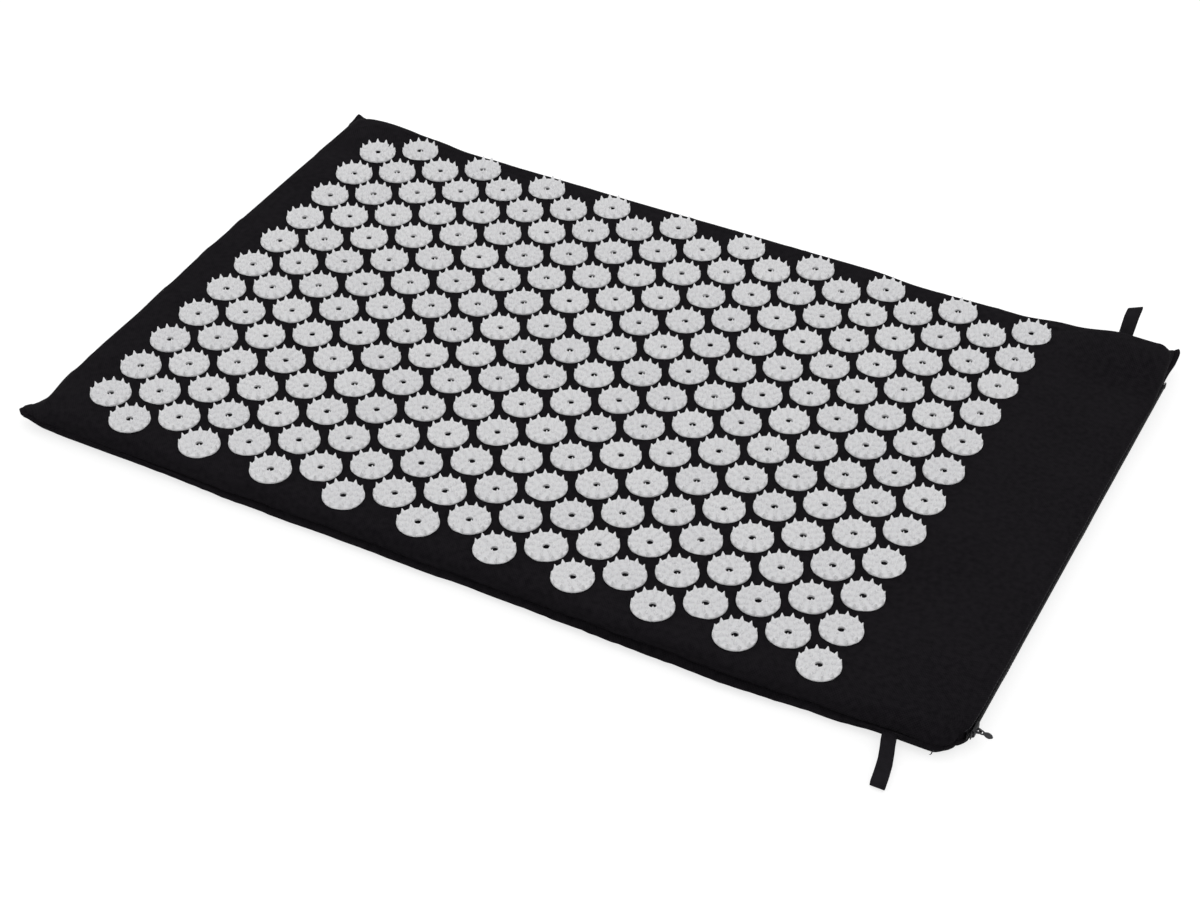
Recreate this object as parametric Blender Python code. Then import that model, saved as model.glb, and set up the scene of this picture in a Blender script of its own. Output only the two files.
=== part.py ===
"""Acupressure mat: a foam slab in a zipped cotton cover that carries a field of plastic spike discs.

Units are metres, +Z is up and the mat lies on z = 0. +X runs to the head end, where the cover is
bare and has its zip, and +Y runs to the far long side. The origin is below the middle of the part.
"""

import math

import bmesh
import bpy
from mathutils import Matrix, Vector

# Spike discs: a low plate with a crown of pointed spikes round its rim, and a smaller one inside it
DISC_DIAMETER = 0.0266
DISC_PLATE = 0.0012
SPIKE_HEIGHT = 0.0034
SPIKE_DEPTH = 0.0036
SPIKES_PER_HALF = 4
INNER_SPIKE_COUNT = 6
INNER_SPIKE_HEIGHT = 0.0032
INNER_FOOT_SHARE = 0.62
INNER_TIP_SHARE = 0.42
ROW_GAP = 0.0069
DIAGONAL_GAP = 0.0047
COLUMN_COUNT = 20
LONG_COLUMN_DISCS = 12
BOND_WIDTH = 0.0040
BOND_THICKNESS = 0.0003
DISCS_PER_BOND_POINT = 3

# Cover and foam: bare margins round the disc field, and the layers from the floor up
FOOT_MARGIN = 0.0270
HEAD_MARGIN = 0.0805
SIDE_MARGIN = 0.0055
CLOTH = 0.0008
FOAM_THICKNESS = 0.0165
GAP = 0.0003
CORNER_RADIUS = 0.0140
SHOULDER_SHARE = 0.54
SEAM_LIP = 0.0030
SEAM_HEIGHT = 0.0048
SEAM_BULGE = 0.0004
SEAM_DROP = 0.0012
EAR_LIFT_SHARES = (0.70, 1.0)
EAR_REACH_SHARES = (0.35, 1.0)
EAR_FADE_SHARES = (1.0, 0.45)
CELLS_ALONG = 8
CELLS_ACROSS = 4

# Zip in the head end, and the slider at its near end
ZIP_OPENING = 0.0062
ZIP_HEM = 0.0007
ZIP_ROOM = 0.0021
TAPE_THICKNESS = 0.0005
TAPE_GAP = 0.0004
TAPE_CLEARANCE = 0.0020
COIL_WIDTH = 0.0021
COIL_THICKNESS = 0.0018
COIL_BEVEL = 0.0005
ZIP_SLIT = 0.0008
STOP_LENGTH = 0.0022
STOP_THICKNESS = 0.0008
STOP_LEG = 0.0003
STOP_LEG_CLEARANCE = 0.00015
SLIDER_LENGTH = 0.0085
SLIDER_WIDTH = 0.0070
SLIDER_PLATE = 0.0010
SLIDER_BACK_PLATE = 0.0008
SLIDER_BACK_WIDTH = 0.0050
SLIDER_FLANGE = 0.0005
SLIDER_WEB = 0.0004
SLIDER_CLEARANCE = 0.0004
BRIDGE_LENGTH = 0.0042
BRIDGE_WIDTH = 0.0014
BRIDGE_HEIGHT = 0.0028
BRIDGE_BAR = 0.0008
TAB_LENGTH = 0.0108
TAB_WIDTH = 0.0044
TAB_THICKNESS = 0.0008
TAB_EYE_LENGTH = 0.0030
TAB_EYE_WIDTH = 0.0022
TAB_EYE_WALL = 0.0008
TAB_NECK_WIDTH = 0.0024
TAB_DROOP = math.radians(10)

# Ribbon loops in the two long seams, near the head end
RIBBON_WIDTH = 0.0100
RIBBON_THICKNESS = 0.0008
LOOP_REACH = 0.0350
NEAR_LOOP_HALF_GAP = 0.0026
FAR_LOOP_HALF_GAP = 0.0037
LOOP_ROOT_HALF_GAP = 0.0006
LOOP_TACK = 0.0016
LOOP_INSET = 0.0420
NEAR_LOOP_SKEW = 0.0065
FLOOR_CLEARANCE = 0.00005
FAR_LOOP_TILT = math.radians(35)
STRAND_STEPS = 7
FOLD_STEPS = 8
ROOT_STEPS = 4

# What follows from the driving sizes
DISC_RADIUS = DISC_DIAMETER / 2
PITCH = DISC_DIAMETER + ROW_GAP
COLUMN_STEP = math.sqrt((DISC_DIAMETER + DIAGONAL_GAP) ** 2 - (PITCH / 2) ** 2)
FIELD_HALF_LENGTH = (COLUMN_COUNT - 1) / 2 * COLUMN_STEP + DISC_RADIUS
FIELD_HALF_WIDTH = (LONG_COLUMN_DISCS - 1) / 2 * PITCH + DISC_RADIUS
HALF_LENGTH = FIELD_HALF_LENGTH + (FOOT_MARGIN + HEAD_MARGIN) / 2
HALF_WIDTH = FIELD_HALF_WIDTH + SIDE_MARGIN
TOP = FOAM_THICKNESS + 2 * (CLOTH + GAP)
ZIP_WALL = ZIP_OPENING + 2 * ZIP_HEM
SHOULDER_RADIUS = SHOULDER_SHARE * (TOP - ZIP_WALL)
BASE_RADIUS = TOP - ZIP_WALL - SHOULDER_RADIUS
SHOULDER_FOOT = TOP - SHOULDER_RADIUS
ZIP_LEVEL = BASE_RADIUS + ZIP_WALL / 2
TAPE_FACE = -(CLOTH + TAPE_GAP)
COIL_FACE = TAPE_FACE + GAP + COIL_THICKNESS
ZIP_HALF_LENGTH = HALF_WIDTH - CORNER_RADIUS - TAPE_CLEARANCE
STOP_Y = ZIP_HALF_LENGTH - STOP_LENGTH
SLIDER_Y = -(STOP_Y - GAP - SLIDER_LENGTH / 2)
SLIDER_FACE = COIL_FACE + SLIDER_CLEARANCE + SLIDER_PLATE
TAB_AXIS = SLIDER_FACE + BRIDGE_HEIGHT - BRIDGE_BAR - TAB_THICKNESS
TAB_REACH = TAB_AXIS + TAB_LENGTH * math.cos(TAB_DROOP)

# Corner ears of the cover, as (outward in x, outward in y, height) of each tip from the body's corner
FOOT_NEAR_EAR = (0.0070, -0.0040, 0.0085)
FOOT_FAR_EAR = (0.0000, 0.0080, 0.0130)
HEAD_FAR_EAR = (-0.0040, 0.0150, 0.0150)
HEAD_NEAR_EAR = (-0.0060, 0.0000, 0.0085)

MIDDLE_X = (FOOT_NEAR_EAR[0] - TAB_REACH) / 2
FIELD_X = MIDDLE_X - (HEAD_MARGIN - FOOT_MARGIN) / 2
HEAD_X = MIDDLE_X + HALF_LENGTH
NEAR_FOLD_RADIUS = NEAR_LOOP_HALF_GAP + RIBBON_THICKNESS / 2
FAR_FOLD_RADIUS = FAR_LOOP_HALF_GAP + RIBBON_THICKNESS / 2
LOOP_ROOT_RADIUS = LOOP_ROOT_HALF_GAP + RIBBON_THICKNESS / 2
LOOP_ROOT_Y = HALF_WIDTH + SEAM_LIP + GAP + LOOP_ROOT_RADIUS
ARC_ANGLES = [math.radians(angle) for angle in (0, 30, 60, 90)]


def clear_scene():
    for obj in list(bpy.data.objects):
        bpy.data.objects.remove(obj)


def linear(value):
    """One sRGB channel, from 0 to 1, as the linear value that a shader takes."""
    return value / 12.92 if value <= 0.04045 else ((value + 0.055) / 1.055) ** 2.4


def material(name, hex_colour, roughness, metallic=0.0):
    """A Principled material of this colour, made once and then shared."""
    found = bpy.data.materials.get(name)
    if found:
        return found
    made = bpy.data.materials.new(name)
    made.use_nodes = True
    channels = [int(hex_colour[i : i + 2], 16) / 255 for i in (0, 2, 4)]
    shader = made.node_tree.nodes["Principled BSDF"]
    shader.inputs["Base Color"].default_value = (*map(linear, channels), 1)
    shader.inputs["Roughness"].default_value = roughness
    shader.inputs["Metallic"].default_value = metallic
    return made


def cotton():
    return material("black_cotton", "1d1b1e", 0.9)


def ribbon():
    return material("black_ribbon", "17161a", 0.75)


def foam():
    return material("grey_foam", "8e8c88", 0.95)


def disc_plastic():
    return material("white_plastic", "dadbdf", 0.35)


def zip_nylon():
    return material("zip_nylon", "141316", 0.5)


def zip_metal():
    return material("zip_metal", "3c3c3e", 0.4, 0.8)


def place(name, mesh, finish, location=(0, 0, 0)):
    """An object of this mesh, shaded smooth up to a crease of 40 degrees."""
    obj = bpy.data.objects.new(name, mesh)
    bpy.context.scene.collection.objects.link(obj)
    if not mesh.materials:
        mesh.materials.append(finish)
        mesh.shade_smooth()
        mesh.set_sharp_from_angle(angle=math.radians(40))
    obj.location = location
    return obj


def mesh_of(name, points, faces):
    """A closed mesh of these points and faces, with its faces turned to point out."""
    shape = bmesh.new()
    corners = [shape.verts.new(point) for point in points]
    for face in faces:
        shape.faces.new([corners[i] for i in face])
    bmesh.ops.recalc_face_normals(shape, faces=shape.faces)
    mesh = bpy.data.meshes.new(name)
    shape.to_mesh(mesh)
    shape.free()
    return mesh


def lofted(name, rings):
    """A solid through closed rings of equally many points, capped by its first and last ring."""
    count = len(rings[0])
    points = [point for ring in rings for point in ring]
    faces = [tuple(range(count)), tuple(range(len(points) - count, len(points)))]
    for start in range(0, len(points) - count, count):
        for i in range(count):
            following = (i + 1) % count
            faces.append((start + i, start + following, start + count + following, start + count + i))
    return mesh_of(name, points, faces)


def extruded(name, outline, start, end):
    """A solid of this outline of points swept from one place to another, given as two offsets."""
    rings = [[Vector(point) + Vector(offset) for point in outline] for offset in (start, end)]
    return lofted(name, rings)


def offset_path(path, distance):
    """A path of 2D points moved sideways by this distance, to its right, with mitred corners."""
    sides = []
    for first, second in zip(path, path[1:]):
        along = (Vector(second) - Vector(first)).normalized()
        sides.append(Vector((along.y, -along.x)))
    moved = []
    for i, point in enumerate(path):
        before = sides[max(i - 1, 0)]
        after = sides[min(i, len(sides) - 1)]
        mitre = (before + after) / (1 + before.dot(after))
        moved.append(Vector(point) + mitre * distance)
    return moved


def united(name, first, others):
    """One mesh from overlapping objects, which are then removed."""
    for other in others:
        joining = first.modifiers.new("union", "BOOLEAN")
        joining.operation = "UNION"
        joining.object = other
    graph = bpy.context.evaluated_depsgraph_get()
    mesh = bpy.data.meshes.new_from_object(first.evaluated_get(graph))
    mesh.name = name
    for used in (first, *others):
        bpy.data.objects.remove(used)
    return mesh


# The cover's outline: points round a rectangle, closer together at its corners


def side_stations(half, count):
    """Places along a side, from -half to half, with two short steps at each end."""
    inner = half - CORNER_RADIUS
    between = [inner * (2 * i / count - 1) for i in range(count + 1)]
    return [-half, -half + CORNER_RADIUS / 2, *between, half - CORNER_RADIUS / 2, half]


def boundary():
    """Points round the body's rectangle, anticlockwise from its foot and near corner."""
    xs = side_stations(HALF_LENGTH, CELLS_ALONG)
    ys = side_stations(HALF_WIDTH, CELLS_ACROSS)
    near = [(x, -HALF_WIDTH) for x in xs[:-1]]
    head = [(HALF_LENGTH, y) for y in ys[:-1]]
    far = [(x, HALF_WIDTH) for x in reversed(xs[1:])]
    foot = [(-HALF_LENGTH, y) for y in reversed(ys[1:])]
    return near + head + far + foot


BOUNDARY = boundary()


def outline_point(station, outward):
    """A boundary point moved outward, on an outline whose corners are rounded about one centre."""
    x = station[0] * (HALF_LENGTH + outward) / HALF_LENGTH
    y = station[1] * (HALF_WIDTH + outward) / HALF_WIDTH
    radius = CORNER_RADIUS + outward
    centre_x = math.copysign(HALF_LENGTH - CORNER_RADIUS, x)
    centre_y = math.copysign(HALF_WIDTH - CORNER_RADIUS, y)
    centre = Vector((centre_x, centre_y))
    arm = Vector((x, y)) - centre
    if arm.x * centre.x > 0 and arm.y * centre.y > 0:
        arm = arm.normalized() * radius
        return centre + arm
    return Vector((x, y))


def corner_steps(station):
    """How many short steps a boundary point lies from its corner."""
    from_x = HALF_LENGTH - abs(station[0])
    from_y = HALF_WIDTH - abs(station[1])
    return round(max(from_x, from_y) / (CORNER_RADIUS / 2))


def ear_of(station):
    """The ear of the corner that this point lies next to: its tip, and how much of it reaches here."""
    steps = corner_steps(station)
    if steps >= len(EAR_FADE_SHARES):
        return Vector((0, 0, 0))
    ears = {(-1, -1): FOOT_NEAR_EAR, (-1, 1): FOOT_FAR_EAR, (1, 1): HEAD_FAR_EAR, (1, -1): HEAD_NEAR_EAR}
    side_x, side_y = (int(math.copysign(1, value)) for value in station)
    out_x, out_y, height = ears[side_x, side_y]
    corner = outline_point((side_x * HALF_LENGTH, side_y * HALF_WIDTH), SEAM_LIP)
    tip = Vector((side_x * (HALF_LENGTH + out_x), side_y * (HALF_WIDTH + out_y)))
    move = (tip - corner) * EAR_FADE_SHARES[steps]
    return Vector((move.x, move.y, (height - SEAM_HEIGHT) * EAR_FADE_SHARES[steps]))


def zip_share(station):
    """1 along the zip's opening in the head end, 0 along the seam, and half at the opening's ends."""
    if station[0] < HALF_LENGTH:
        return 0
    return min(corner_steps(station), 2) / 2


def arc(radius, centre_out, centre_up, rising):
    """An edge's arc, as (outward, height) points from the flat face to the upright side."""
    return [
        (centre_out + radius * math.sin(angle), centre_up + rising * radius * math.cos(angle))
        for angle in ARC_ANGLES
    ]


def at(station, profile_point, ear=Vector((0, 0, 0)), reach_share=0, lift_share=0):
    """The place in space of a profile point of this boundary point."""
    outward, height = profile_point
    flat = outline_point(station, outward)
    x = MIDDLE_X + flat.x + ear.x * reach_share
    y = flat.y + ear.y * reach_share
    return Vector((x, y, height + ear.z * lift_share))


def top_profile(station):
    """The top panel's outer face here: shoulder, side and the lip at the seam or the zip's hem."""
    share = zip_share(station)
    hem = ZIP_LEVEL + ZIP_OPENING / 2
    bend = ((1 - share) * SEAM_BULGE, (1 - share) * (SEAM_HEIGHT + SEAM_DROP) + share * (hem + GAP))
    rim = ((1 - share) * SEAM_LIP, (1 - share) * SEAM_HEIGHT + share * hem)
    return [*arc(SHOULDER_RADIUS, -SHOULDER_RADIUS, SHOULDER_FOOT, 1), bend, rim]


def top_rim_inside(station):
    """The inner edge of the top panel's rim."""
    inner = offset_path(top_profile(station), CLOTH)[-1]
    return at(station, inner, ear_of(station), EAR_REACH_SHARES[1], EAR_LIFT_SHARES[1])


def top_panel_mesh():
    """A tray turned upside down over the foam: an outer face, the rim and an inner face."""
    outer, inner = [], []
    for level in range(len(ARC_ANGLES) + 2):
        ear_level = level - len(ARC_ANGLES)
        reach = EAR_REACH_SHARES[ear_level] if ear_level >= 0 else 0
        lift = EAR_LIFT_SHARES[ear_level] if ear_level >= 0 else 0
        outer_ring, inner_ring = [], []
        for station in BOUNDARY:
            profile = top_profile(station)
            ear = ear_of(station)
            outer_ring.append(at(station, profile[level], ear, reach, lift))
            inner_ring.append(at(station, offset_path(profile, CLOTH)[level], ear, reach, lift))
        outer.append(outer_ring)
        inner.append(inner_ring)
    return lofted("top_panel", outer + inner[::-1])


def bottom_panel_mesh():
    """A shallow tray under the foam, whose rim lies under the top panel's lip or at the zip."""
    upper_profile = arc(BASE_RADIUS - CLOTH, -BASE_RADIUS, BASE_RADIUS, -1)[:-1]
    lower_profile = arc(BASE_RADIUS, -BASE_RADIUS, BASE_RADIUS, -1)[:-1]
    upper = [[at(station, point) for station in BOUNDARY] for point in upper_profile]
    lower = [[at(station, point) for station in BOUNDARY] for point in lower_profile]
    upper_rim, lower_rim = [], []
    hem = ZIP_LEVEL - ZIP_OPENING / 2
    for station in BOUNDARY:
        share = zip_share(station)
        seam = top_rim_inside(station) - Vector((0, 0, GAP))
        upper_rim.append(seam.lerp(at(station, (-CLOTH, hem)), share))
        lower_rim.append((seam - Vector((0, 0, CLOTH))).lerp(at(station, (0, hem)), share))
    return lofted("bottom_panel", upper + [upper_rim, lower_rim] + lower[::-1])


def foam_mesh():
    """The slab, with edges that the cover rounds off, shortened at the head end for the zip."""
    skin = CLOTH + GAP
    upper = arc(SHOULDER_RADIUS - skin, -SHOULDER_RADIUS, SHOULDER_FOOT, 1)
    lower = arc(BASE_RADIUS - skin, -BASE_RADIUS, BASE_RADIUS, -1)
    rings = []
    for point in upper + lower[::-1]:
        ring = [at(station, point) for station in BOUNDARY]
        for place_now, station in zip(ring, BOUNDARY):
            if station[0] > 0:
                place_now.x -= ZIP_ROOM
        rings.append(ring)
    return lofted("foam_core", rings)


# The zip, drawn as outlines in the plane across it and swept along the head end


def swept_along_zip(name, section, half_length, centre_y=0.0):
    """A bar of this section of (outward, height) points along the zip."""
    outline = [(HEAD_X + outward, centre_y, height) for outward, height in section]
    return extruded(name, outline, (0, -half_length, 0), (0, half_length, 0))


def tape_section(side):
    """One tape, from its beaded edge at the slit to where it lies inside the panel."""
    edge = (TAPE_FACE, ZIP_LEVEL + side * ZIP_SLIT / 2)
    if side > 0:
        radius = SHOULDER_RADIUS + TAPE_FACE
        bend = arc(radius, -SHOULDER_RADIUS, SHOULDER_FOOT, 1)
        face = [edge, bend[3], bend[2]]
    else:
        face = [edge, (TAPE_FACE, BASE_RADIUS - ZIP_HEM)]
    back = offset_path(face, -side * TAPE_THICKNESS)
    return [*face, *reversed(back)]


def coil_section(side):
    """One half of the chain: a flat bar with bevelled edges."""
    low = ZIP_LEVEL + side * ZIP_SLIT / 2
    high = low + side * COIL_WIDTH
    back = TAPE_FACE + GAP
    bevel = side * COIL_BEVEL
    return [
        (back, low),
        (COIL_FACE - COIL_BEVEL, low),
        (COIL_FACE, low + bevel),
        (COIL_FACE, high - bevel),
        (COIL_FACE - COIL_BEVEL, high),
        (back, high),
    ]


def stop_section():
    """An end stop: a flat clip across both halves of the chain, with two short legs beside them."""
    half = ZIP_SLIT / 2 + COIL_WIDTH
    inside = half + STOP_LEG_CLEARANCE
    outside = inside + STOP_LEG
    low = COIL_FACE + GAP
    foot = COIL_FACE - COIL_BEVEL
    ahead = low + STOP_THICKNESS
    half_outline = [(foot, inside), (foot, outside), (ahead - STOP_LEG, outside), (ahead, inside)]
    upper = [(out, ZIP_LEVEL + up) for out, up in half_outline]
    lower = [(out, ZIP_LEVEL - up) for out, up in reversed(half_outline)]
    return [(low, ZIP_LEVEL + inside), *upper, *lower, (low, ZIP_LEVEL - inside)]


def slider_section():
    """The slider across its travel: a front plate with flanges, a web in the slit, a back plate."""
    inside_face = SLIDER_FACE - SLIDER_PLATE
    flange_foot = SLIDER_CLEARANCE
    back_face = TAPE_FACE - TAPE_THICKNESS - GAP
    half, web, back_half = SLIDER_WIDTH / 2, SLIDER_WEB / 2, SLIDER_BACK_WIDTH / 2
    upper = [
        (back_face - SLIDER_BACK_PLATE, back_half),
        (back_face, back_half),
        (back_face, web),
        (inside_face, web),
        (inside_face, half - SLIDER_FLANGE),
        (flange_foot, half - SLIDER_FLANGE),
        (flange_foot, half),
        (SLIDER_FACE - SLIDER_FLANGE, half),
        (SLIDER_FACE, half - SLIDER_FLANGE),
    ]
    points = upper + [(out, -up) for out, up in reversed(upper)]
    return [(out, ZIP_LEVEL + up) for out, up in points]


def bridge_outline():
    """The slider's bridge from the side: a low arch that the pull tab's eye goes round."""
    foot = SLIDER_FACE - BRIDGE_BAR / 2
    top = SLIDER_FACE + BRIDGE_HEIGHT
    half = BRIDGE_LENGTH / 2
    inner = half - BRIDGE_BAR
    outside = [(foot, half), (top - BRIDGE_BAR, half), (top, inner), (top, -inner)]
    outside += [(top - BRIDGE_BAR, -half), (foot, -half)]
    inside = [(foot, -inner), (top - BRIDGE_BAR, -inner), (top - BRIDGE_BAR, inner), (foot, inner)]
    return outside + inside


def slider_mesh():
    plates = place("plates", swept_along_zip("plates", slider_section(), SLIDER_LENGTH / 2), zip_metal())
    outline = [(HEAD_X + out, along, ZIP_LEVEL) for out, along in bridge_outline()]
    half = BRIDGE_WIDTH / 2
    bridge = place("bridge", extruded("bridge", outline, (0, 0, -half), (0, 0, half)), zip_metal())
    mesh = united("zip_slider", plates, [bridge])
    mesh.transform(Matrix.Translation((-HEAD_X, 0, -ZIP_LEVEL)))
    return mesh


def filled_curve(name, outlines, thickness):
    """A flat plate from closed outlines in the XY plane, the first round it and the rest round holes."""
    curve = bpy.data.curves.new(name, "CURVE")
    curve.dimensions = "2D"
    curve.fill_mode = "BOTH"
    curve.extrude = thickness / 2
    for outline in outlines:
        spline = curve.splines.new("POLY")
        spline.points.add(len(outline) - 1)
        for point, (x, y) in zip(spline.points, outline):
            point.co = (x, y, 0, 1)
        spline.use_cyclic_u = True
    obj = bpy.data.objects.new(name, curve)
    bpy.context.scene.collection.objects.link(obj)
    graph = bpy.context.evaluated_depsgraph_get()
    mesh = bpy.data.meshes.new_from_object(obj.evaluated_get(graph))
    bpy.data.objects.remove(obj)
    shape = bmesh.new()
    shape.from_mesh(mesh)
    bmesh.ops.remove_doubles(shape, verts=shape.verts, dist=thickness / 100)
    bmesh.ops.recalc_face_normals(shape, faces=shape.faces)
    shape.to_mesh(mesh)
    shape.free()
    return mesh


def pull_tab_mesh():
    """A leaf with an eye at its root, along +X from the hinge axis, flat in the XY plane."""
    eye_half = TAB_EYE_WIDTH / 2 + TAB_EYE_WALL
    root = TAB_THICKNESS / 2
    eye_end = root + TAB_EYE_LENGTH
    neck = eye_end + TAB_EYE_WALL
    leaf = TAB_LENGTH - neck
    upper = [(-root, eye_half - TAB_EYE_WALL / 2), (0, eye_half), (eye_end - TAB_EYE_WALL, eye_half)]
    upper += [(neck, TAB_NECK_WIDTH / 2)]
    leaf_shares = ((0.25, 0.78), (0.50, 0.97), (0.70, 1.0), (0.88, 0.78), (0.97, 0.45), (1.0, 0.15))
    upper += [(neck + leaf * along, TAB_WIDTH / 2 * across) for along, across in leaf_shares]
    outer = upper + [(x, -y) for x, y in reversed(upper)]
    hole_half = TAB_EYE_WIDTH / 2
    chamfer = TAB_EYE_WALL / 2
    hole = [(root, -hole_half), (eye_end - chamfer, -hole_half), (eye_end, chamfer - hole_half)]
    hole += [(x, -y) for x, y in reversed(hole)]
    return filled_curve("pull_tab", [outer, hole], TAB_THICKNESS)


# The ribbon loops, drawn from the side as a long drop


def loop_path(length, half_gap, start):
    """The ribbon's middle line from here out, round the fold and back, as (reach, height)."""
    bow = length - half_gap - RIBBON_THICKNESS / 2
    upper = []
    for step in range(STRAND_STEPS):
        share = (start + (bow - start) * step / STRAND_STEPS) / bow
        swell = share * share * (3 - 2 * share)
        height = LOOP_ROOT_HALF_GAP + (half_gap - LOOP_ROOT_HALF_GAP) * swell
        upper.append((bow * share, height))
    fold = []
    for step in range(FOLD_STEPS + 1):
        angle = math.pi / 2 - math.pi * step / FOLD_STEPS
        fold.append((bow + half_gap * math.cos(angle), half_gap * math.sin(angle)))
    return upper + fold + [(reach, -height) for reach, height in reversed(upper)]


def loop_mesh(name, length, half_gap, side, tilt, skew):
    """A ribbon loop with its hinge at the origin, reaching out to this side, tilted up and skewed.

    Its two ends are sewn together at the hinge, where they are rounded to turn beside the seam.
    """
    root = []
    for step in range(ROOT_STEPS + 1):
        angle = math.pi * (1.5 - step / ROOT_STEPS)
        root.append(Vector((LOOP_ROOT_RADIUS * math.cos(angle), LOOP_ROOT_RADIUS * math.sin(angle))))
    outer = root + offset_path(loop_path(length, half_gap, 0), -RIBBON_THICKNESS / 2)[1:-1]
    inner = offset_path(loop_path(length, half_gap, LOOP_TACK), RIBBON_THICKNESS / 2)
    mesh = filled_curve(name, [outer, inner], RIBBON_WIDTH)
    stand = Matrix(((0, 0, 1, 0), (side, 0, 0, 0), (0, 1, 0, 0), (0, 0, 0, 1)))
    shear = Matrix.Identity(4)
    shear[0][1] = side * skew / length
    mesh.transform(Matrix.Rotation(side * tilt, 4, "X") @ shear @ stand)
    if stand.determinant() < 0:
        mesh.flip_normals()
    return mesh


# One column of discs on its bond strip


def disc_corners():
    """Angles of a disc's corners down its +X half, between the narrow flats that face -Y and +Y."""
    flat = math.asin(BOND_WIDTH / 2 / DISC_RADIUS)
    span = math.pi - 2 * flat
    return [math.pi / 2 - flat - span * i / SPIKES_PER_HALF for i in range(SPIKES_PER_HALF + 1)]


def stitched(first, second, points):
    """Triangles between two rows of points that both run up y, advancing on the row that lags."""
    faces = []
    i = j = 0
    while i < len(first) - 1 or j < len(second) - 1:
        step_first = j == len(second) - 1
        if i < len(first) - 1 and not step_first:
            step_first = points[first[i + 1]].y <= points[second[j + 1]].y
        if step_first:
            faces.append((first[i], first[i + 1], second[j]))
            i += 1
        else:
            faces.append((second[j], second[j + 1], first[i]))
            j += 1
    return faces


def ring_between(outer, inner, points, centre):
    """Triangles between two closed rows of points round a centre, taken in turn by their angle."""

    def turn(index):
        arm = points[index] - centre
        return math.atan2(arm.x, arm.y) % math.tau

    outer = sorted(outer, key=turn)
    inner = sorted(inner, key=turn)
    outer_turns = [turn(index) for index in outer[1:]] + [turn(outer[0]) + math.tau]
    inner_turns = [turn(index) for index in inner[1:]] + [turn(inner[0]) + math.tau]
    faces = []
    i = j = 0
    while i < len(outer) or j < len(inner):
        here, inside = outer[i % len(outer)], inner[j % len(inner)]
        if j == len(inner) or (i < len(outer) and outer_turns[i] <= inner_turns[j]):
            i += 1
            faces.append((here, outer[i % len(outer)], inside))
        else:
            j += 1
            faces.append((inside, inner[j % len(inner)], here))
    return faces


def inner_crown(add, centre, plate_top):
    """The inner spikes of a disc, whose feet meet in its middle: the row of their feet, and their faces."""
    feet, tips = [], []
    for spike in range(INNER_SPIKE_COUNT):
        for row, share, rise, half_step in (
            (feet, INNER_FOOT_SHARE, 0, 0.5),
            (tips, INNER_TIP_SHARE, INNER_SPIKE_HEIGHT, 1),
        ):
            angle = math.tau * (spike + half_step) / INNER_SPIKE_COUNT
            reach = DISC_RADIUS * share
            row.append(add(reach * math.sin(angle), centre + reach * math.cos(angle), plate_top + rise))
    middle = add(0, centre, plate_top)
    faces = []
    for spike in range(INNER_SPIKE_COUNT):
        foot, next_foot = feet[spike], feet[(spike + 1) % INNER_SPIKE_COUNT]
        faces.append((foot, next_foot, tips[spike]))
        faces.append((foot, tips[spike], middle))
        faces.append((tips[spike], next_foot, middle))
    return feet, faces


def column_mesh(count):
    """Discs in a row along Y, each a ten-sided plate with spikes on its eight wide sides and inside."""
    points, faces = [], []

    def add(x, y, z):
        points.append(Vector((x, y, z)))
        return len(points) - 1

    plate_top = BOND_THICKNESS + DISC_PLATE
    tip_height = plate_top + SPIKE_HEIGHT
    rows = {1: [], -1: []}
    for disc in range(count):
        centre = (disc - (count - 1) / 2) * PITCH
        rim_path = {}
        for side in (1, -1):
            spokes = [(side * math.cos(angle), math.sin(angle)) for angle in disc_corners()]
            around = [(DISC_RADIUS * x, centre + DISC_RADIUS * y) for x, y in spokes]
            base = [add(x, y, BOND_THICKNESS) for x, y in around]
            rim = [add(x, y, plate_top) for x, y in around]
            rim_path[side] = [rim[0]]
            for k in range(SPIKES_PER_HALF):
                middle = (Vector(around[k]) + Vector(around[k + 1])) / 2
                inward = (Vector((0, centre)) - middle).normalized() * SPIKE_DEPTH
                tip = add(middle.x, middle.y, tip_height)
                foot = add(middle.x + inward.x, middle.y + inward.y, plate_top)
                faces.append((base[k], base[k + 1], rim[k + 1], tip, rim[k]))
                faces.append((rim[k], tip, foot))
                faces.append((tip, rim[k + 1], foot))
                rim_path[side] += [foot, rim[k + 1]]
            faces.append(tuple(base))
            rows[side] += [base[-1], base[0]]
            rim_path[side, "flat"] = (base[0], rim[0], base[-1], rim[-1])
        feet, crown_faces = inner_crown(add, centre, plate_top)
        middle = Vector((0, centre, plate_top))
        faces += ring_between(rim_path[1] + rim_path[-1], feet, points, middle)
        faces += crown_faces
        right, left = rim_path[1, "flat"], rim_path[-1, "flat"]
        faces.append((right[0], right[1], left[1], left[0]))
        faces.append((right[2], right[3], left[3], left[2]))
    floor = {}
    for side in (1, -1):
        top_row = rows[side]
        stride = 2 * DISCS_PER_BOND_POINT
        supports = [top_row[0], *top_row[stride:-2:stride], top_row[-1]]
        floor[side] = [add(points[i].x, points[i].y, 0) for i in supports]
        faces += stitched(top_row, floor[side], points)
    for k in range(1, len(rows[1]) - 1, 2):
        faces.append((rows[1][k], rows[1][k + 1], rows[-1][k + 1], rows[-1][k]))
    for k in range(len(floor[1]) - 1):
        faces.append((floor[1][k], floor[1][k + 1], floor[-1][k + 1], floor[-1][k]))
    for end in (0, -1):
        faces.append((rows[1][end], rows[-1][end], floor[-1][end], floor[1][end]))
    return mesh_of(f"column_of_{count}", points, faces)


clear_scene()
place("foam_core", foam_mesh(), foam())
place("top_panel", top_panel_mesh(), cotton())
place("bottom_panel", bottom_panel_mesh(), cotton())

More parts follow.
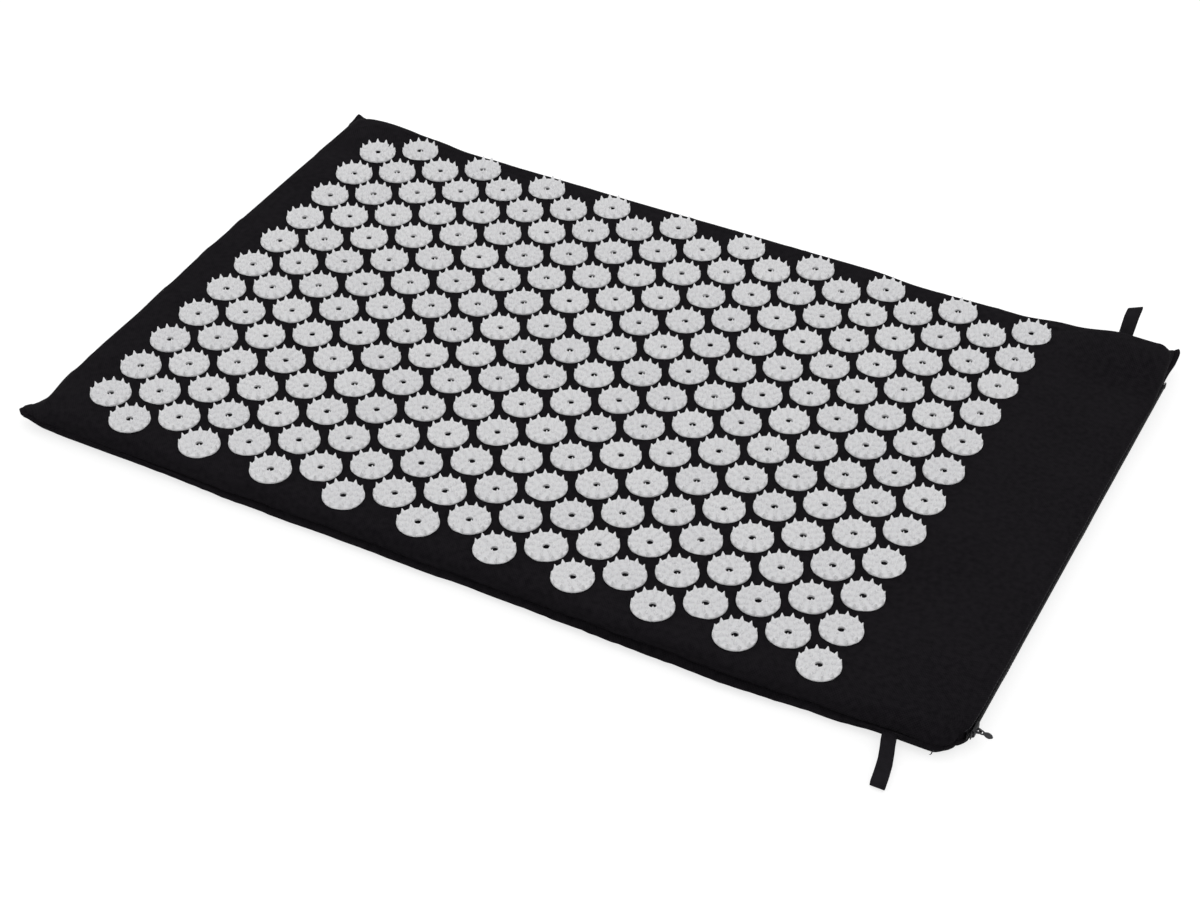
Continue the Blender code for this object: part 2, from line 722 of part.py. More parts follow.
for tape_name, side in (("upper", 1), ("lower", -1)):
    tape = swept_along_zip(f"zip_tape_{tape_name}", tape_section(side), ZIP_HALF_LENGTH)
    place(f"zip_tape_{tape_name}", tape, zip_nylon())
    coil = swept_along_zip(f"zip_coil_{tape_name}", coil_section(side), ZIP_HALF_LENGTH)
    place(f"zip_coil_{tape_name}", coil, zip_nylon())
for stop_name, side in (("top", -1), ("bottom", 1)):
    centre_y = side * (STOP_Y + STOP_LENGTH / 2)
    stop = swept_along_zip(f"zip_{stop_name}_stop", stop_section(), STOP_LENGTH / 2, centre_y)
    place(f"zip_{stop_name}_stop", stop, zip_metal())

place("zip_slider", slider_mesh(), zip_metal(), (HEAD_X, SLIDER_Y, ZIP_LEVEL))
pull_tab = place("pull_tab", pull_tab_mesh(), zip_metal(), (HEAD_X + TAB_AXIS, SLIDER_Y, ZIP_LEVEL))
pull_tab.rotation_euler = (math.pi / 2, TAB_DROOP, 0)

loop_x = HEAD_X - LOOP_INSET
near_loop = loop_mesh("near_loop", LOOP_REACH, NEAR_LOOP_HALF_GAP, -1, 0, NEAR_LOOP_SKEW)
near_level = NEAR_FOLD_RADIUS + FLOOR_CLEARANCE
place("near_loop", near_loop, ribbon(), (loop_x, -LOOP_ROOT_Y, near_level))
far_length = FAR_FOLD_RADIUS + (LOOP_REACH - FAR_FOLD_RADIUS) / math.cos(FAR_LOOP_TILT)
far_loop = loop_mesh("far_loop", far_length, FAR_LOOP_HALF_GAP, 1, FAR_LOOP_TILT, 0)
far_level = FAR_FOLD_RADIUS + FLOOR_CLEARANCE
place("far_loop", far_loop, ribbon(), (loop_x, LOOP_ROOT_Y, far_level))

long_column = column_mesh(LONG_COLUMN_DISCS)
short_column = column_mesh(LONG_COLUMN_DISCS - 1)
for column in range(COLUMN_COUNT):
    mesh = long_column if column % 2 else short_column
    column_x = FIELD_X + (column - (COLUMN_COUNT - 1) / 2) * COLUMN_STEP
    place(f"disc_column_{column + 1:02d}", mesh, disc_plastic(), (column_x, 0, TOP + GAP))
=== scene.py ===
import math

import bmesh
import bpy
import numpy as np
from mathutils import Matrix, Vector


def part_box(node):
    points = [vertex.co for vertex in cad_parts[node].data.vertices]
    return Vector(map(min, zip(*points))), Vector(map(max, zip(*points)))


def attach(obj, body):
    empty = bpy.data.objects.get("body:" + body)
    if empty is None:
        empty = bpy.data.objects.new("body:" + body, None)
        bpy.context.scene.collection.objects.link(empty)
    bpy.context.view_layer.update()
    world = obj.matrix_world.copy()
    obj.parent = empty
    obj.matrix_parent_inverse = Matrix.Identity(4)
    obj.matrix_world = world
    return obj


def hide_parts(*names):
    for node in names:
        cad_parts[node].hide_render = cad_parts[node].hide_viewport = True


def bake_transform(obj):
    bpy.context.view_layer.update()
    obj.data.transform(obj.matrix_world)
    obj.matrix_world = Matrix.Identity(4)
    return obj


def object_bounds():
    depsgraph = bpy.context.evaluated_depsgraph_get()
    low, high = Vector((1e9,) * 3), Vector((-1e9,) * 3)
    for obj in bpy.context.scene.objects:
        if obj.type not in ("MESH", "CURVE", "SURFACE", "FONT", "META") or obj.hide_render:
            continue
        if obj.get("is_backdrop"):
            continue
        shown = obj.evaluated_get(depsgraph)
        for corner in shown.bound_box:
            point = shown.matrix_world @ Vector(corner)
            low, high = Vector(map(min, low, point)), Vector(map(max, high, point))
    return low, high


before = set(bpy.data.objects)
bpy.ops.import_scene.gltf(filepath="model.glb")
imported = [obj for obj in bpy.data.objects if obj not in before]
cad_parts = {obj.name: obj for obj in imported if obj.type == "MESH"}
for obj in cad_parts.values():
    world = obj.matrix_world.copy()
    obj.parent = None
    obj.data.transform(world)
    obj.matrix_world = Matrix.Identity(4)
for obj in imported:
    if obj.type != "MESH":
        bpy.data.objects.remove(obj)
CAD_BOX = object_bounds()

# The cover is a bag of black plain-woven cotton. A top and a bottom panel are sewn together round three
# sides in a narrow lip, whose corners stick out as ears, and the head end stays open for the zip. The foam
# fills it, and the discs hold its top down.

MM = 0.001
SKIN = 1.1
LIP = 3.0
CORNER = 14.0
SHOULDER = 6.0
EDGE_CELLS = (2.0, 2.5, 3.1, 3.9, 4.9)
CORNER_CELLS = 6
CELL = 5.0
FLOOR_EDGE = 5.1


def box_of(node):
    """The low and the high corner of a solid's box in mm."""
    return [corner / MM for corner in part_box(node)]


foam_low, foam_high = box_of("foam_core")
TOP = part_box("top_panel")[1].z / MM
HEAD_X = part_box("top_panel")[1].x / MM
FOOT_X = foam_low.x - SKIN
HALF_LENGTH = (HEAD_X - FOOT_X) / 2
HALF_WIDTH = foam_high.y + SKIN
MIDDLE_X = (HEAD_X + FOOT_X) / 2

# The cover's edge as (outward, height) down from the shoulder: where it is sewn, and where the zip opens
SHOULDER_ARC = [
    (SHOULDER * (math.sin(math.radians(turn)) - 1), TOP - SHOULDER * (1 - math.cos(math.radians(turn))))
    for turn in range(0, 91, 15)
]
SEWN_EDGE = SHOULDER_ARC + [
    (0.7, 11.2), (0.9, 9.6), (0.1, 7.6), (-1.1, 6.4), (0.9, 5.7), (3.0, 5.2), (3.2, 4.5), (2.4, 4.15),
    (2.9, 3.85), (2.8, 3.4), (1.6, 3.0), (-0.3, 2.85), (-1.5, 1.5), (-3.2, 0.37), (-5.1, 0.0),
]
ZIP_EDGE = SHOULDER_ARC + [
    (0.0, 12.2), (-0.05, 11.95), (-0.35, 11.7), (-0.9, 11.65), (-1.6, 11.7), (-1.6, 10.5), (-1.6, 8.9),
    (-1.6, 7.3), (-1.6, 6.1), (-0.9, 6.15), (-0.05, 5.85), (0.0, 5.1), (-0.68, 2.55), (-2.55, 0.68),
    (-5.1, 0.0),
]
SEAM_RING = SEWN_EDGE.index((3.0, 5.2))
SEAM_HEIGHT = 4.7

# Each corner's ear: the signs of its x and y, its tip, how far round the corner its pull reaches, how far up
# and down it reaches, how sharp it is, and how much of it is pulled out whole. Creases run across it.
EARS = (
    (-1, -1, (-333.5, -201.8, 8.5), 22.0, 6.5, 1.1, 1.2),
    (-1, 1, (-328.0, 215.2, 11.5), 25.0, 7.0, 1.1, 1.0),
    (1, 1, (317.0, 218.5, 14.5), 12.5, 7.5, 0.9, 1.5),
    (1, -1, (310.4, -201.2, 6.4), 13.0, 5.0, 0.9, 1.6),
)
EAR_CREASE = 8
EAR_CREASE_HEIGHT = 0.7

# Waves of the sides and puckers of the seam: their lengths in mm, the seed of their phases, and their height
SIDE_WAVES = (((47, 71, 113, 190), 3, 0.9), ((13, 17, 29), 4, 0.35))
SEAM_PUCKERS = (((5.5, 8.3, 11.9), 5, 0.3), ((37, 83), 6, 0.35))

# How far from the seam its puckers, the lip's turn and the seam's rise fade out
PUCKER_FADE = 4
LIP_TURN_FADE = 2.6
SEAM_RISE_FADE = 5

# Where the cover starts to give towards each side, in mm from the middle, and over what width
SIDE_GIVE = (172, 24)
FAR_RISE_GIVE = (150, 40)
HEAD_GIVE = (290, 22)
FOOT_GIVE = (290, 24)

# How the sides lie, from the foot end to the head end: how far each bulges, how far the far shoulder stands
# up, and how the near seam climbs and turns in towards its corners
FAR_PLACES = (-320, -295, -255, -223, -100, 19, 95, 134, 205, 240, 281, 303, 318)
FAR_BULGE = (5.5, 7.0, 4.5, 2.0, 2.5, 4.0, 5.0, 2.0, 4.0, 8.0, 10.5, 9.0, 6.5)
FAR_RISE = (1.0, 2.0, 1.0, 0.0, 0.0, 0.0, 0.0, 0.0, 0.0, 1.2, 5.2, 6.0, 5.0)
NEAR_PLACES = (-318, -256, -130, 25, 100, 170, 238, 282, 318)
NEAR_BULGE = (0.0, 0.0, 0.0, 0.8, 2.5, 3.0, 0.0, -0.5, -1.5)
NEAR_SEAM_RISE = (4.5, 3.0, 0.0, 0.0, 0.0, 0.0, 0.0, 3.0, 4.0)
NEAR_LIP_TURN = (-4.6, -2.4, 0.0, 0.3, 1.9, 2.4, 0.4, -2.4, -4.0)
HEAD_PLACES = (-203, -198, -194, -191, -188, -184, -160, 100, 150, 177, 188, 203)
HEAD_BULGE = (-2.0, -3.4, -4.4, -5.4, -1.8, -0.6, 0.0, 0.0, 2.5, 0.0, -1.2, -2.0)
FOOT_PLACES = (-203, -188, -160, -120, -90, -50, 0, 110, 160, 203)
FOOT_BULGE = (-5.5, -4.0, -1.2, 0.0, 0.0, 0.8, 2.3, 2.5, 2.1, 0.8)


def side_cells(half):
    """Stations along a side, each as its straight place in mm and its share of the corner's arc."""
    inner = half - CORNER
    graded = np.cumsum((0.0, *EDGE_CELLS))
    count = round((inner - graded[-1]) / CELL)
    middle = np.linspace(0, inner - graded[-1], count + 1)
    straight = np.concatenate([middle, inner - graded[-2::-1]])
    shares = np.arange(1, CORNER_CELLS + 1) / CORNER_CELLS
    places = np.concatenate([straight, np.full(CORNER_CELLS, inner)])
    turns = np.concatenate([np.zeros(len(straight)), shares])
    return np.concatenate([-places[:0:-1], places]), np.concatenate([-turns[:0:-1], turns])


def plan(stations, outward):
    """Places in plan of stations, in mm from the body's middle, at this distance outward of the body."""
    straight, turn = stations[..., 0:2], stations[..., 2:4]
    size = np.abs(turn).max(-1, keepdims=True)
    length = np.maximum(np.linalg.norm(turn, axis=-1, keepdims=True), 1e-9)
    radius = CORNER + np.asarray(outward, float)[..., None]
    return straight + turn / length * size * radius


def smooth(share):
    """The share, held between 0 and 1 and eased at both ends."""
    share = np.clip(share, 0, 1)
    return share * share * (3 - 2 * share)


def rising(values, start, width):
    """A share that rises smoothly from 0 at the start to 1 this width beyond it."""
    return smooth((values - start) / width)


def eased(spots, places, values):
    """Values between places, eased so that the line through them has no kinks."""
    places, values = np.array(places, float), np.array(values, float)
    before = np.clip(np.searchsorted(places, spots) - 1, 0, len(places) - 2)
    share = smooth((spots - places[before]) / (places[before + 1] - places[before]))
    return values[before] * (1 - share) + values[before + 1] * share


def waves(places, wavelengths, seed):
    """A gentle random sum of waves along a line, from -1 to 1, that is the same each time."""
    draw = np.random.default_rng(seed)
    total = np.zeros_like(places)
    for wavelength in wavelengths:
        total += np.sin(places * math.tau / wavelength + draw.uniform(0, math.tau))
    return total / len(wavelengths)


def cover_stations():
    """The grid of stations over a panel, and the ring of grid places round its edge, anticlockwise."""
    place_x, turn_x = side_cells(HALF_LENGTH)
    place_y, turn_y = side_cells(HALF_WIDTH)
    places = np.meshgrid(place_x, place_y, indexing="ij")
    grid = np.stack([*places, *np.meshgrid(turn_x, turn_y, indexing="ij")], -1)
    across, along = len(place_x), len(place_y)
    ring = [(i, 0) for i in range(across - 1)] + [(across - 1, j) for j in range(along - 1)]
    ring += [(i, along - 1) for i in range(across - 1, 0, -1)] + [(0, j) for j in range(along - 1, 0, -1)]
    return grid, np.array(ring)


def edge_rings(stations):
    """The cover's edge, ring by ring, with its zip opening and its waves, and its flat pattern."""
    sewn, zipped = np.array(SEWN_EDGE), np.array(ZIP_EDGE)
    zip_share = np.where(stations[:, 2] == 1, 1 - smooth(np.abs(stations[:, 3])), 0)[None, :, None]
    profile = sewn[:, None] * (1 - zip_share) + zipped[:, None] * zip_share
    out, height = profile[..., 0], profile[..., 1]
    steps = np.linalg.norm(np.diff(sewn, axis=0), axis=1)
    travel = np.concatenate([[0], np.cumsum(steps)])
    to_seam = np.abs(travel - travel[SEAM_RING])[:, None]
    outline = plan(stations, 0)
    lap = np.cumsum(np.linalg.norm(outline - np.roll(outline, 1, axis=0), axis=1))
    sewn_share = 1 - zip_share[0, :, 0]
    low = np.clip(height / 3, 0, 1)
    bulge = sum(waves(lap, lengths, seed) * tall for lengths, seed, tall in SIDE_WAVES)
    out = out + bulge * smooth(1 - np.abs(height - 8) / 9) * (0.35 + 0.65 * sewn_share)
    pucker = sum(waves(lap, lengths, seed) * tall for lengths, seed, tall in SEAM_PUCKERS)
    height = height + pucker * sewn_share * np.exp(-((to_seam / PUCKER_FADE) ** 2)) * low
    near = sewn_share * (stations[:, 1] == stations[:, 1].min())
    along = stations[:, 0] + stations[:, 2] * CORNER
    turn, rise = (eased(along, NEAR_PLACES, values) * near for values in (NEAR_LIP_TURN, NEAR_SEAM_RISE))
    out = out + turn * np.exp(-((to_seam / LIP_TURN_FADE) ** 2))
    height = height + rise * np.exp(-((to_seam / SEAM_RISE_FADE) ** 2)) * low
    points = np.concatenate([plan(stations[None], out), height[..., None]], -1)
    pattern = plan(stations[None], travel[:, None] - SHOULDER)
    return points, pattern


def as_it_lies(points):
    """Points of the straight bag, moved as its sides bulge and its corners are pulled out to their ears."""
    x, y, z = points.T
    moved = points.copy()
    high = smooth((z - 6) / 12)
    side = rising(np.abs(y), *SIDE_GIVE) * (0.4 + 0.6 * high)
    far, near = eased(x, FAR_PLACES, FAR_BULGE), eased(x, NEAR_PLACES, NEAR_BULGE)
    moved[:, 1] += side * np.where(y > 0, far, -near)
    moved[:, 2] += eased(x, FAR_PLACES, FAR_RISE) * rising(y, *FAR_RISE_GIVE) * high
    head = eased(y, HEAD_PLACES, HEAD_BULGE)
    moved[:, 0] += np.where(head < 0, head, head * rising(z, 12, 5)) * rising(x, *HEAD_GIVE)
    foot = eased(y, FOOT_PLACES, FOOT_BULGE) * (0.3 + 0.7 * high)
    moved[:, 0] -= foot * rising(-x, *FOOT_GIVE)
    zip_share = smooth((204 - np.abs(y)) / 14) * smooth((x - HEAD_X + 8) / 6) * (1 - smooth((z - 12.2) / 6))
    out = (CORNER + LIP) * math.sqrt(0.5) - CORNER
    for side_x, side_y, tip, reach, depth, power, whole in EARS:
        root = np.array([MIDDLE_X + side_x * (HALF_LENGTH + out), side_y * (HALF_WIDTH + out), SEAM_HEIGHT])
        apart = np.hypot(x - root[0], y - root[1])
        share = np.clip(whole * (1 - apart / reach), 0, 1) ** power
        share = share * np.exp(-(((z - SEAM_HEIGHT) / depth) ** 2)) * (1 - zip_share)
        moved += share[:, None] * (np.array(tip) - root)
        moved[:, 2] += np.sin(apart * math.tau / EAR_CREASE + 1) * EAR_CREASE_HEIGHT * share * smooth(z / 3)
    return moved


def mesh_of(name, points, faces, pattern=None):
    """A mesh of points in mm, with the pattern laid on it as a UV map in metres where there is one."""
    mesh = bpy.data.meshes.new(name)
    mesh.from_pydata((np.asarray(points, float) * MM).tolist(), [], [list(map(int, face)) for face in faces])
    if pattern is not None:
        layer = mesh.uv_layers.new(name="pattern")
        corners = np.concatenate([np.asarray(part, float).reshape(-1, 2) for part in pattern])
        layer.data.foreach_set("uv", (corners * MM).astype(np.float32).ravel())
    mesh.validate()
    return mesh


def linked(name, data):
    """An object of a mesh, curve, lamp or camera, put into the scene at the origin."""
    obj = bpy.data.objects.new(name, data)
    bpy.context.scene.collection.objects.link(obj)
    return obj


def add_piece(name, mesh, finish, crease=40):
    """A piece at the origin, shaded smooth up to a crease of this many degrees."""
    mesh.materials.clear()
    mesh.materials.append(finish)
    mesh.shade_smooth()
    mesh.set_sharp_from_angle(angle=math.radians(crease))
    return linked(name, mesh)


def cover_mesh():
    """The closed bag: a grid for the top panel, the rings of its edge, and a grid for the bottom panel."""
    grid, ring = cover_stations()
    stations = grid[ring[:, 0], ring[:, 1]]
    rings, pattern = edge_rings(stations)
    rows, columns = grid.shape[:2]
    spot = np.arange(rows * columns).reshape(rows, columns)
    flat = grid.reshape(-1, 4)
    upper, lower = plan(flat, -SHOULDER), plan(flat, -FLOOR_EDGE)
    top = np.column_stack([upper, np.full(len(flat), TOP)])
    bottom = np.column_stack([lower, np.zeros(len(flat))])
    points = np.concatenate([top, rings[1:-1].reshape(-1, 3), bottom])
    first, count = spot[ring[:, 0], ring[:, 1]], len(ring)
    between = len(top) + np.arange((len(rings) - 2) * count).reshape(-1, count)
    levels = [first, *between, len(points) - len(bottom) + first]
    squares = np.stack([spot[:-1, :-1], spot[1:, :-1], spot[1:, 1:], spot[:-1, 1:]], -1).reshape(-1, 4)
    faces, corners = [*squares], [upper[squares]]
    ahead = np.roll(np.arange(count), -1)
    for above, below, here, there in zip(levels, levels[1:], pattern, pattern[1:]):
        faces += [*np.stack([above, below, below[ahead], above[ahead]], -1)]
        corners.append(np.stack([here, there, there[ahead], here[ahead]], 1))
    under = squares[:, ::-1]
    faces += [*(under + len(points) - len(bottom))]
    corners.append(lower[under] + (0, 3 * HALF_WIDTH))
    points[:, 0] += MIDDLE_X
    return mesh_of("cover", as_it_lies(points), faces, corners)


def linear(hex_colour):
    """An sRGB hex colour as the linear colour that a shader takes."""
    channels = [int(hex_colour[i : i + 2], 16) / 255 for i in (0, 2, 4)]
    return (*(c / 12.92 if c <= 0.04045 else ((c + 0.055) / 1.055) ** 2.4 for c in channels), 1.0)


def add_node(tree, kind, inputs=None, **settings):
    """A node with these settings, and each input given its value or linked to the socket it takes."""
    node = tree.nodes.new(kind)
    for setting, value in settings.items():
        setattr(node, setting, value)
    for socket, value in (inputs or {}).items():
        if isinstance(value, bpy.types.NodeSocket):
            tree.links.new(value, node.inputs[socket])
        else:
            node.inputs[socket].default_value = value
    return node.outputs


def new_material(name, **uniform):
    """A Principled material, with the sockets set that are the same all over the surface."""
    made = bpy.data.materials.new(name)
    made.use_nodes = True
    shader = made.node_tree.nodes["Principled BSDF"]
    for socket, value in uniform.items():
        shader.inputs[socket.replace("_", " ")].default_value = value
    return made, made.node_tree, shader


def varied(tree, shader, tone, colours, grain, roughness, relief=None, depth=0.0):
    """Runs the colour with the tone, the roughness with the grain, and a bump this many mm deep."""
    ramp = {0: tone, 6: linear(colours[0]), 7: linear(colours[1])}
    colour = add_node(tree, "ShaderNodeMix", ramp, data_type="RGBA")[2]
    tree.links.new(colour, shader.inputs["Base Color"])
    rough = add_node(tree, "ShaderNodeMapRange", {0: grain, 3: roughness[0], 4: roughness[1]})[0]
    tree.links.new(rough, shader.inputs["Roughness"])
    if relief is not None:
        bump = add_node(tree, "ShaderNodeBump", {"Height": relief, "Distance": depth * MM})[0]
        tree.links.new(bump, shader.inputs["Normal"])


# Cells of noise to a metre: thick places in the threads, about 4 mm apart, and worn clouds, about 7 cm
SLUB_SCALE = 260.0
CLOUD_SCALE = 14.0


def woven(name, colours, thread, depth, coordinate, roughness, gloss):
    """A plain weave of two thread colours on a coordinate in metres, its thread spacing and depth in mm."""
    made, tree, shader = new_material(name, Specular_IOR_Level=gloss)
    where = add_node(tree, "ShaderNodeTexCoord")[coordinate]
    axes = add_node(tree, "ShaderNodeSeparateXYZ", {0: where})
    turns = []
    for axis in (0, 1):
        along = {0: axes[axis], 1: math.pi / (thread * MM)}
        angle = add_node(tree, "ShaderNodeMath", along, operation="MULTIPLY")[0]
        turns.append(add_node(tree, "ShaderNodeMath", {0: angle}, operation="SINE")[0])
    over = add_node(tree, "ShaderNodeMath", {0: turns[0], 1: turns[1]}, operation="MULTIPLY")[0]
    slub_noise = {"Vector": where, "Scale": SLUB_SCALE, "Detail": 3.0}
    slubs = add_node(tree, "ShaderNodeTexNoise", slub_noise)["Fac"]
    cloud_noise = {"Vector": where, "Scale": CLOUD_SCALE, "Detail": 2.0}
    cloudy = add_node(tree, "ShaderNodeTexNoise", cloud_noise)["Fac"]
    lift = add_node(tree, "ShaderNodeMath", {0: over, 1: 0.22, 2: slubs}, operation="MULTIPLY_ADD")[0]
    tone = add_node(tree, "ShaderNodeMapRange", {0: lift, 1: 0.2, 2: 0.85})[0]
    worn = add_node(tree, "ShaderNodeMath", {0: cloudy, 1: 0.5, 2: tone}, operation="MULTIPLY_ADD")[0]
    varied(tree, shader, worn, colours, slubs, roughness, lift, depth)
    return made


# Plain-woven cotton, dyed black: a matt cloth whose fibres leave hardly any gloss. Its threads lie 0.4 mm
# apart, and are drawn 0.9 mm apart so that the weave shows.
COTTON = woven("black_woven_cotton", ("08070a", "1b191c"), 0.9, 0.12, "UV", (0.8, 0.95), 0.03)

# The discs' places, which the cover needs first: twenty columns, turn by turn of eleven and twelve
DISC_PITCH = 33.5
DISC_RADIUS = 13.3
disc_centres = []
for number in range(1, 21):
    low, high = box_of(f"disc_column_{number:02d}")
    count = round((high.y - low.y - 2 * DISC_RADIUS) / DISC_PITCH) + 1
    places = (np.arange(count) - (count - 1) / 2) * DISC_PITCH
    disc_centres.append([((low.x + high.x) / 2, place) for place in places])

SEWN_UNDER_DISC = 11.0
HELD_BELOW = 9.6
SIM_FRAMES = 20
MOST_SWELL = 1.2


def spots_of(vertices):
    """The places of these vertices in mm."""
    return np.array([vertex.co for vertex in vertices], float) / MM


def evaluated_mesh(obj):
    """A plain mesh of an object as its modifiers leave it."""
    graph = bpy.context.evaluated_depsgraph_get()
    return bpy.data.meshes.new_from_object(obj.evaluated_get(graph))


def swell(obj):
    """Lets the foam press the cotton out between the discs and the seam, as a cloth that it fills."""
    mesh = obj.data
    rest = spots_of(mesh.vertices)
    held = rest[:, 2] < HELD_BELOW
    spots = np.array([spot for column in disc_centres for spot in column])
    on_top = np.nonzero(rest[:, 2] > TOP - 0.01)[0]
    nearest = np.min(np.linalg.norm(rest[on_top, None, :2] - spots[None], axis=2), axis=1)
    held[on_top[nearest < SEWN_UNDER_DISC]] = True
    pins = obj.vertex_groups.new(name="pins")
    pins.add(np.nonzero(held)[0].tolist(), 1.0, "REPLACE")
    cloth = obj.modifiers.new("cloth", "CLOTH")
    cloth.settings.quality = 5
    cloth.settings.mass = 0.3
    cloth.settings.vertex_group_mass = "pins"
    cloth.settings.use_pressure = True
    cloth.settings.uniform_pressure_force = 1.6
    cloth.settings.shrink_min = -0.012
    cloth.settings.effector_weights.gravity = 0
    cloth.point_cache.frame_start = 1
    cloth.point_cache.frame_end = SIM_FRAMES
    for moment in range(1, SIM_FRAMES + 1):
        bpy.context.scene.frame_set(moment)
    moved = evaluated_mesh(obj)
    shift = spots_of(moved.vertices) - rest
    bpy.data.meshes.remove(moved)
    obj.modifiers.remove(cloth)
    obj.vertex_groups.remove(pins)
    bpy.context.scene.frame_set(1)
    normals = np.array([vertex.normal for vertex in mesh.vertices], float)
    shift -= np.minimum(np.sum(shift * normals, axis=1, keepdims=True), 0) * normals
    size = np.maximum(np.linalg.norm(shift, axis=1, keepdims=True), 1e-9)
    shift *= MOST_SWELL * np.tanh(size / MOST_SWELL) / size
    mesh.vertices.foreach_set("co", ((rest + shift) * MM).astype(np.float32).ravel())
    mesh.update()


cover = add_piece("cover", cover_mesh(), COTTON, crease=70)
swell(cover)
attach(cover, "mat")
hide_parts("top_panel", "bottom_panel")

# The foam slab is a sheet of grey polyurethane foam, cut to size and slid in through the zip. It fills the
# cover, is squeezed a little where the cover is drawn in, most at the near corner of the zip, and shows only
# if the cover is taken off.

FOAM_CELL = 0.8
# Polyurethane foam, cut from a block: a matt open grain of cells about 0.8 mm wide
FOAM, tree, shader = new_material("cut_polyurethane_foam", Specular_IOR_Level=0.2)
where = add_node(tree, "ShaderNodeTexCoord")["Object"]
cells = add_node(tree, "ShaderNodeTexVoronoi", {"Vector": where, "Scale": 1 / (FOAM_CELL * MM)})["Distance"]
varied(tree, shader, cells, ("6f6d6a", "9c9a96"), cells, (0.85, 1.0), cells, 0.3)

FOAM_ROOM = 1.6
FOAM_PRESSED_BACK = 7.0
PRESSED_BEYOND = (290, -170)
slab = bmesh.new()
slab.from_mesh(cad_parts["foam_core"].data)
bmesh.ops.remove_doubles(slab, verts=slab.verts, dist=0.01 * MM)
cut = spots_of(slab.verts)
squeezed = as_it_lies(cut)
squeezed[:, 0:2] = np.copysign(np.minimum(np.abs(cut), np.abs(squeezed)) - FOAM_ROOM, cut)[:, 0:2]
squeezed[:, 2] = cut[:, 2]
at_corner = (cut[:, 0] > PRESSED_BEYOND[0]) & (cut[:, 1] < PRESSED_BEYOND[1])
squeezed[:, 0] -= FOAM_PRESSED_BACK * at_corner
for vertex, spot in zip(slab.verts, squeezed):
    vertex.co = Vector(spot) * MM
    skin, facing = cover.closest_point_on_mesh(vertex.co)[1:3]
    if (vertex.co - skin).dot(facing) > -FOAM_ROOM * MM:
        vertex.co = skin - facing * FOAM_ROOM * MM
foam_mesh = bpy.data.meshes.new("foam_slab")
slab.to_mesh(foam_mesh)
slab.free()
foam = add_piece("foam_slab", foam_mesh, FOAM)
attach(foam, "mat")
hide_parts("foam_core")

# The spike discs are injection-moulded in white polystyrene, in one shot with their spikes, and are held to
# the cover through a hole in their middle, where the cotton bulges up. Each disc has three rings of spikes,
# and lies turned as it fell, so no two beside each other match.

PLATE_FOOT = TOP + 0.05
PLATE_TOP = 20.5
SPIKE = 3.4
HOLE_RADIUS = 2.35
PLATE_STEPS = 48
RIM_SPIKE_FOOT = 1.95
RIM_SPIKE_LEAN = 1.35
INNER_SPIKE = 3.1
INNER_SPIKE_FOOT = 1.3
SPIKE_SIDES = 8


def turned_mesh(name, profile, steps, closed):
    """A profile of (radius, height) points turned about the z axis, as a ring or with its ends closed."""
    points, rows = [], []
    for radius, height in profile:
        count = steps if radius > 0 else 1
        rows.append([len(points) + i % count for i in range(steps + 1)])
        angles = [math.tau * i / steps for i in range(count)]
        points += [(radius * math.cos(angle), radius * math.sin(angle), height) for angle in angles]
    faces = [
        list(dict.fromkeys((first[i], first[i + 1], second[i + 1], second[i])))
        for first, second in zip(rows, rows[1:] + rows[:closed]) for i in range(steps)
    ]
    if not closed and profile[0][0] > 0:
        faces.append(rows[0][-2::-1])
    mesh = mesh_of(name, points, faces)
    mesh.shade_smooth()
    return mesh


def spike_mesh(name, foot, tip, lean):
    """A pointed spike that flares at its foot and leans along x, so that its outer side stands upright."""
    shares = ((1.0, -0.12), (1.0, 0.0), (0.79, 0.14), (0.56, 0.42), (0.32, 0.70), (0.13, 0.94), (0.0, 1.0))
    profile = [(foot * wide, tip * high) for wide, high in shares]
    mesh = turned_mesh(name, profile, SPIKE_SIDES, False)
    for vertex in mesh.vertices:
        vertex.co.x += lean * max(vertex.co.z, 0) / tip
    return mesh


def plate_mesh():
    """The disc's plate, a ring with rounded edges round its hole, from the cotton up to its flat top."""
    rim, hole, top, foot = DISC_RADIUS, HOLE_RADIUS, 0.0, PLATE_FOOT - PLATE_TOP
    profile = [
        (hole, foot), (rim - 0.2, foot), (rim, foot + 0.2), (rim - 0.03, top - 0.75),
        (rim - 0.16, top - 0.34), (rim - 0.42, top - 0.09), (rim - 0.8, top), (hole + 0.3, top),
        (hole + 0.08, top - 0.1), (hole, top - 0.35),
    ]
    mesh = turned_mesh("plate", profile, PLATE_STEPS, True)
    mesh.set_sharp_from_angle(angle=math.radians(50))
    return mesh


def new_tree(name, sizes):
    """A Geometry Nodes tree that takes a geometry and an input for each size, with its input sockets."""
    tree = bpy.data.node_groups.new(name, "GeometryNodeTree")
    tree.interface.new_socket("Geometry", in_out="INPUT", socket_type="NodeSocketGeometry")
    for label, value in sizes.items():
        kind = {float: "Float", int: "Int"}.get(type(value), "Object")
        tree.interface.new_socket(label, in_out="INPUT", socket_type=f"NodeSocket{kind}")
    tree.interface.new_socket("Geometry", in_out="OUTPUT", socket_type="NodeSocketGeometry")
    return tree, tree.nodes.new("NodeGroupInput").outputs


def end_tree(tree, geometry, material):
    """Makes the tree's instances real, gives them their material and sends them out."""
    real = add_node(tree, "GeometryNodeRealizeInstances", {0: geometry})[0]
    painted = add_node(tree, "GeometryNodeSetMaterial", {"Geometry": real, "Material": material})[0]
    add_node(tree, "NodeGroupOutput", {0: painted})


